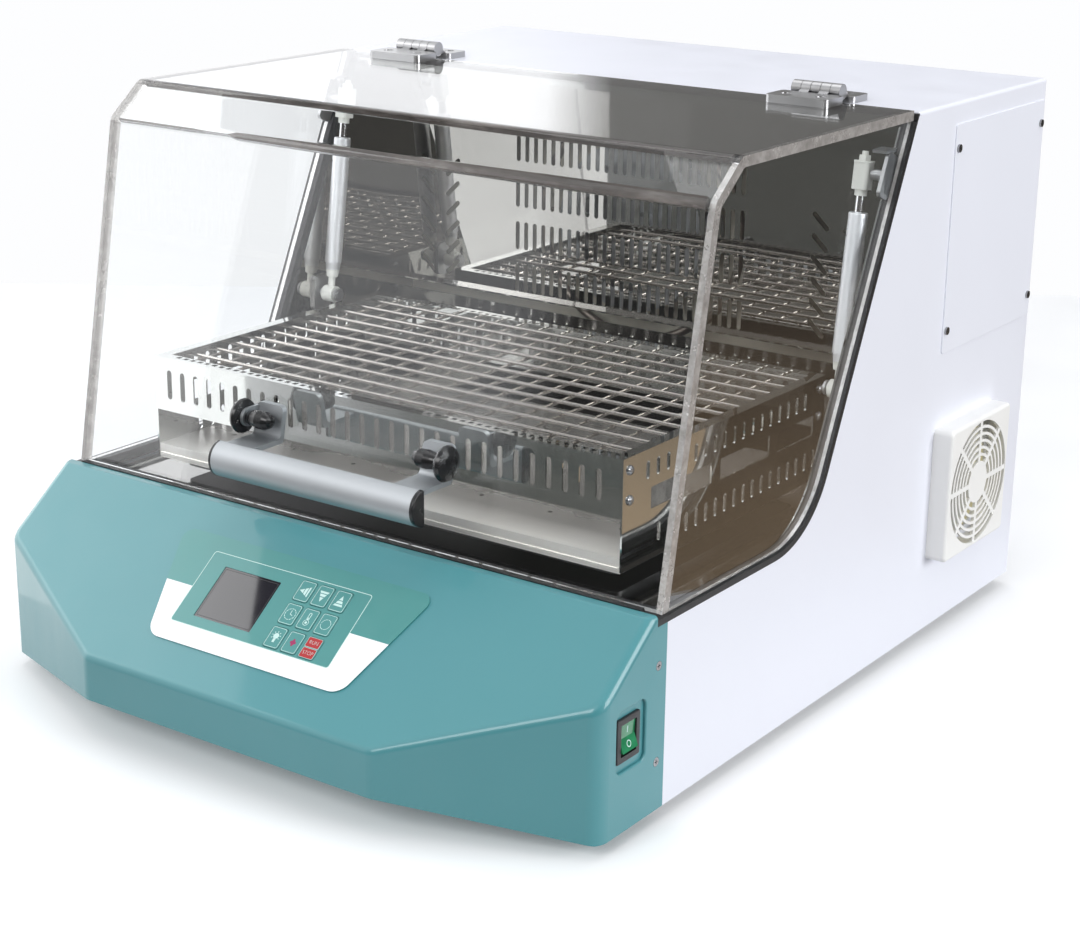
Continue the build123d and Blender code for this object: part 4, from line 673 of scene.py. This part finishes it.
def fold_seam(name, i, widths):
    a, p, b = Vector(LIDP[i - 1]), Vector(LIDP[i]), Vector(LIDP[i + 1])
    d0, d1 = (a - p).normalized(), (b - p).normalized()
    bis = (d0 + d1).normalized()
    half = math.acos(max(-1, min(1, d0.dot(d1)))) / 2
    # radii of the fold: 12 outside, 5 inside
    out_d = 12 / math.sin(half) - 12 + 0.35
    in_d = 8 / math.sin(half) + (5 / math.sin(half) - 5) - 0.35
    q = Vector((-bis.y, bis.x))
    sec = []
    v = []
    for x, k in widths:
        ring_ = []
        for dist, w, order in ((out_d, 4.0 * k, 1), (in_d, 2.9 * k, -1)):
            c = p + bis * dist
            ring_ += [c + q * w, c - q * w][::order]
        v += [R(x, c.x, c.y) for c in ring_]
    n = len(widths)
    f = [(0, 1, 2, 3), tuple(4 * n - 1 - j for j in range(4))]
    f += [(4 * s + j, 4 * s + 4 + j, 4 * s + 4 + (j + 1) % 4, 4 * s + (j + 1) % 4) for s in range(n - 1) for j in range(4)]
    ob = new_mesh(name, v, f, SEAM, "lid")
    bm = bmesh.new()
    bm.from_mesh(ob.data)
    bmesh.ops.recalc_face_normals(bm, faces=bm.faces)
    bm.to_mesh(ob.data)
    bm.free()


# the cement line is thin and clear on the left and spreads to the right
fold_seam("fold_seam_lower", 1, [(-283.4, 0.22), (-200, 0.20), (-184, 0.06), (-162, 0.06), (-152, 0.62), (-60, 0.80),
                                 (60, 0.86), (160, 1.08), (283.4, 1.15)])
fold_seam("fold_seam_upper", 2, [(-283.4, 0.16), (-112, 0.16), (-60, 0.36), (0, 0.50), (110, 0.72), (283.4, 0.80)])

# ---------------------------------------------------------------------
# mains switch marks
# ---------------------------------------------------------------------
TILT = math.radians(8)


def sw(x, z):
    return (286 + x * math.cos(TILT) - z * math.sin(TILT), 71 + z * math.cos(TILT) + x * math.sin(TILT))


def rocker_face(z0, z1):
    """Plate on the upper or lower slope of the rocker: u along +Y, v up the slope."""
    def top(z):
        return 7.2 + 2.0 * abs(z) / 10.3
    a, b = sw(top(z0), z0), sw(top(z1), z1)
    o = R(a[0], -46.5, a[1])
    yd = Vector((b[0] - a[0], 0, b[1] - a[1])).normalized()
    return Plate(o, Vector((0, 1, 0)), yd)


up_face = rocker_face(0, 10.3)
up_face.poly([(-0.5, 3.0), (0.5, 3.0), (0.5, 8.0), (-0.5, 8.0)], -0.02, 0.05)
up_face.make("rocker_mark_on", PRINT_WHITE, "rocker", "green_lens")
lo_face = rocker_face(-10.3, 0)
lo_face.ring(circle(0, 5.0, 2.6, 28), circle(0, 5.0, 1.9, 28), -0.02, 0.05)
lo_face.make("rocker_mark_off", PRINT_WHITE, "rocker", "green_lens")

# ---------------------------------------------------------------------
# set dressing: floor, lights, world
# ---------------------------------------------------------------------
def floor_material():
    m = Mat("floor_paper", (0.86, 0.87, 0.88, 1), 0.6)
    m.color(m.ramp(m.noise(3.0, 2), [(0.3, (0.85, 0.86, 0.87, 1)), (0.7, (0.88, 0.885, 0.89, 1))]))
    m.rough(m.spread(m.noise(8.0, 2), 0.5, 0.65))
    m.p.inputs["Emission Color"].default_value = (0.97, 0.98, 1.0, 1)
    m.p.inputs["Emission Strength"].default_value = 0.12
    # the paper throws back less light than it shows, as a lit table does under a studio sweep
    lp = m.n("ShaderNodeLightPath")
    dim = m.n("ShaderNodeBsdfDiffuse")
    dim.inputs["Color"].default_value = (0.34, 0.34, 0.35, 1)
    mix = m.n("ShaderNodeMixShader")
    m.link(lp.outputs["Is Diffuse Ray"], mix.inputs["Fac"])
    m.link(m.p.outputs["BSDF"], mix.inputs[1])
    m.link(dim.outputs["BSDF"], mix.inputs[2])
    m.link(mix.outputs["Shader"], m.t.nodes["Material Output"].inputs["Surface"])
    return m.m


def make_floor():
    # a flat table top, wider away from the viewer
    # u runs to the viewer's right, v away from the viewer
    a = math.radians(35.28)
    uu, vv = Vector((math.cos(a), math.sin(a), 0)), Vector((-math.sin(a), math.cos(a), 0))
    rows = [(-0.80, 0.36), (-0.2, 0.50), (0.6, 0.68), (1.3, 0.86)]
    v, f = [], []
    for q, w in rows:
        v += [uu * -w + vv * q, uu * w + vv * q]
    for i in range(len(rows) - 1):
        f.append((2 * i, 2 * i + 1, 2 * i + 3, 2 * i + 2))
    me = bpy.data.meshes.new("floor")
    me.from_pydata([tuple(p) for p in v], [], f)
    ob = bpy.data.objects.new("floor", me)
    bpy.context.scene.collection.objects.link(ob)
    me.materials.append(floor_material())


make_floor()


def area(name, loc, target, size, power, color=(1, 1, 1)):
    li = bpy.data.lights.new(name, "AREA")
    li.shape = "RECTANGLE"
    li.size, li.size_y = size
    li.energy = power
    li.color = color
    ob = bpy.data.objects.new(name, li)
    bpy.context.scene.collection.objects.link(ob)
    ob.location = loc
    d = Vector(target) - Vector(loc)
    ob.rotation_euler = d.to_track_quat("-Z", "Y").to_euler()
    return ob


area("front_softbox", (0.3, -2.8, 1.9), (0, 0, 0.15), (2.2, 1.2), 52)
area("side_softbox", (3.3, 0.75, 1.05), (0.2, 0.15, 0.30), (2.2, 1.7), 92, (0.97, 0.985, 1.0))
area("top_softbox", (-0.2, 0.5, 3.0), (0, 0.1, 0.2), (2.6, 2.0), 21)


def card(name, centre, normal, wide, tall, power):
    """Upright or leaning light panel given by its centre and the way it faces."""
    ob = area(name, centre, (0, 0, 0), (wide, tall), power)
    n = Vector(normal).normalized()
    side = Vector((0, 0, 1)).cross(n).normalized() if abs(n.z) < 0.5 else Vector((0, 1, 0))
    up_ = n.cross(side)
    m = Matrix((side, up_, n)).transposed().to_4x4()
    m.translation = centre
    ob.matrix_world = m @ Matrix.Rotation(math.pi, 4, "Y")
    return ob


card("left_card", (-1.02, -0.18, 0.10), (0.66, 0.75, 0), 1.3, 0.8, 3.0).visible_diffuse = False
card("left_softbox", (-2.12, -0.55, 1.50), (0.72, 0, -0.69), 2.4, 1.4, 23).visible_diffuse = False

# studio surroundings: bright to the left and overhead, dim to the right and in front
world = bpy.data.worlds.new("studio")
bpy.context.scene.world = world
world.use_nodes = True
wt = world.node_tree
bg = wt.nodes["Background"]
tc = wt.nodes.new("ShaderNodeTexCoord")
sep = wt.nodes.new("ShaderNodeSeparateXYZ")
wt.links.new(tc.outputs["Generated"], sep.inputs["Vector"])


def w_ramp(source, lo, hi, stops):
    mr = wt.nodes.new("ShaderNodeMapRange")
    mr.inputs["From Min"].default_value = lo
    mr.inputs["From Max"].default_value = hi
    wt.links.new(source, mr.inputs["Value"])
    r = wt.nodes.new("ShaderNodeValToRGB")
    e = r.color_ramp.elements
    while len(e) < len(stops):
        e.new(0.5)
    for i, (pos, col) in enumerate(stops):
        e[i].position, e[i].color = pos, (*col, 1)
    wt.links.new(mr.outputs["Result"], r.inputs["Fac"])
    return r.outputs["Color"]


def w_mix(fac, a, b):
    m = wt.nodes.new("ShaderNodeMix")
    m.data_type = "RGBA"
    wt.links.new(fac, m.inputs[0])
    wt.links.new(a, m.inputs[6])
    wt.links.new(b, m.inputs[7])
    return m.outputs[2]


walls = w_ramp(sep.outputs["X"], -1, 1, [
    (0.0, (1.40, 1.41, 1.45)), (0.214, (1.38, 1.39, 1.42)), (0.226, (0.21, 0.205, 0.20)), (0.55, (0.085, 0.080, 0.078)),
    (1.0, (0.10, 0.085, 0.075))])
ground_front = w_ramp(sep.outputs["X"], -1, 1, [
    (0.0, (0.9, 0.9, 0.92)), (0.17, (0.80, 0.80, 0.82)), (0.20, (0.110, 0.114, 0.108)), (1.0, (0.11, 0.105, 0.098))])
ground_back = w_ramp(sep.outputs["X"], -1, 1, [
    (0.0, (1.0, 1.0, 1.0)), (0.35, (1.0, 1.0, 1.0)), (0.52, (0.10, 0.095, 0.09)), (1.0, (0.07, 0.065, 0.060))])
overhead = w_ramp(sep.outputs["X"], -1, 1, [(0.0, (0.75, 0.76, 0.78)), (0.165, (0.75, 0.76, 0.78)), (0.178, (0.08, 0.085, 0.09)),
                                           (0.198, (0.10, 0.105, 0.11)), (0.225, (0.80, 0.81, 0.83)), (1.0, (0.60, 0.61, 0.63))])
up = w_ramp(sep.outputs["Z"], 0.42, 0.70, [(0.0, (0, 0, 0)), (1.0, (1, 1, 1))])
down = w_ramp(sep.outputs["Z"], -0.06, 0.02, [(0.0, (0, 0, 0)), (1.0, (1, 1, 1))])
behind = w_ramp(sep.outputs["Y"], -0.1, 0.1, [(0.0, (0, 0, 0)), (1.0, (1, 1, 1))])
# a warm wooden surface low on the right, behind
dotp = wt.nodes.new("ShaderNodeVectorMath")
dotp.operation = "DOT_PRODUCT"
wt.links.new(tc.outputs["Generated"], dotp.inputs[0])
dotp.inputs[1].default_value = (0.43, 0.76, -0.49)
warm = w_ramp(dotp.outputs["Value"], 0.958, 0.985, [(0.0, (0, 0, 0)), (1.0, (1, 1, 1))])
wood = w_ramp(sep.outputs["Z"], -0.45, -0.15, [(0.0, (0.70, 0.52, 0.35)), (1.0, (0.36, 0.27, 0.19))])
ground = w_mix(warm, w_mix(behind, ground_front, ground_back), wood)
studio = w_mix(up, w_mix(down, ground, walls), overhead)
# seen directly or through the panes the room is plain white paper
path = wt.nodes.new("ShaderNodeLightPath")
turned = wt.nodes.new("ShaderNodeMath")
turned.operation = "SUBTRACT"
wt.links.new(path.outputs["Ray Depth"], turned.inputs[0])
wt.links.new(path.outputs["Transmission Depth"], turned.inputs[1])
seen = wt.nodes.new("ShaderNodeMath")
seen.operation = "LESS_THAN"
wt.links.new(turned.outputs["Value"], seen.inputs[0])
seen.inputs[1].default_value = 1.5
either = wt.nodes.new("ShaderNodeMath")
either.operation = "MAXIMUM"
wt.links.new(path.outputs["Is Camera Ray"], either.inputs[0])
wt.links.new(path.outputs["Is Transmission Ray"], either.inputs[1])
both = wt.nodes.new("ShaderNodeMath")
both.operation = "MULTIPLY"
wt.links.new(seen.outputs["Value"], both.inputs[0])
wt.links.new(either.outputs["Value"], both.inputs[1])
paper = wt.nodes.new("ShaderNodeRGB")
paper.outputs["Color"].default_value = (0.985, 0.99, 1.0, 1)
wt.links.new(w_mix(both.outputs["Value"], studio, paper.outputs["Color"]), bg.inputs["Color"])
bg.inputs["Strength"].default_value = 1.0
bpy.context.scene.view_settings.view_transform = "Standard"
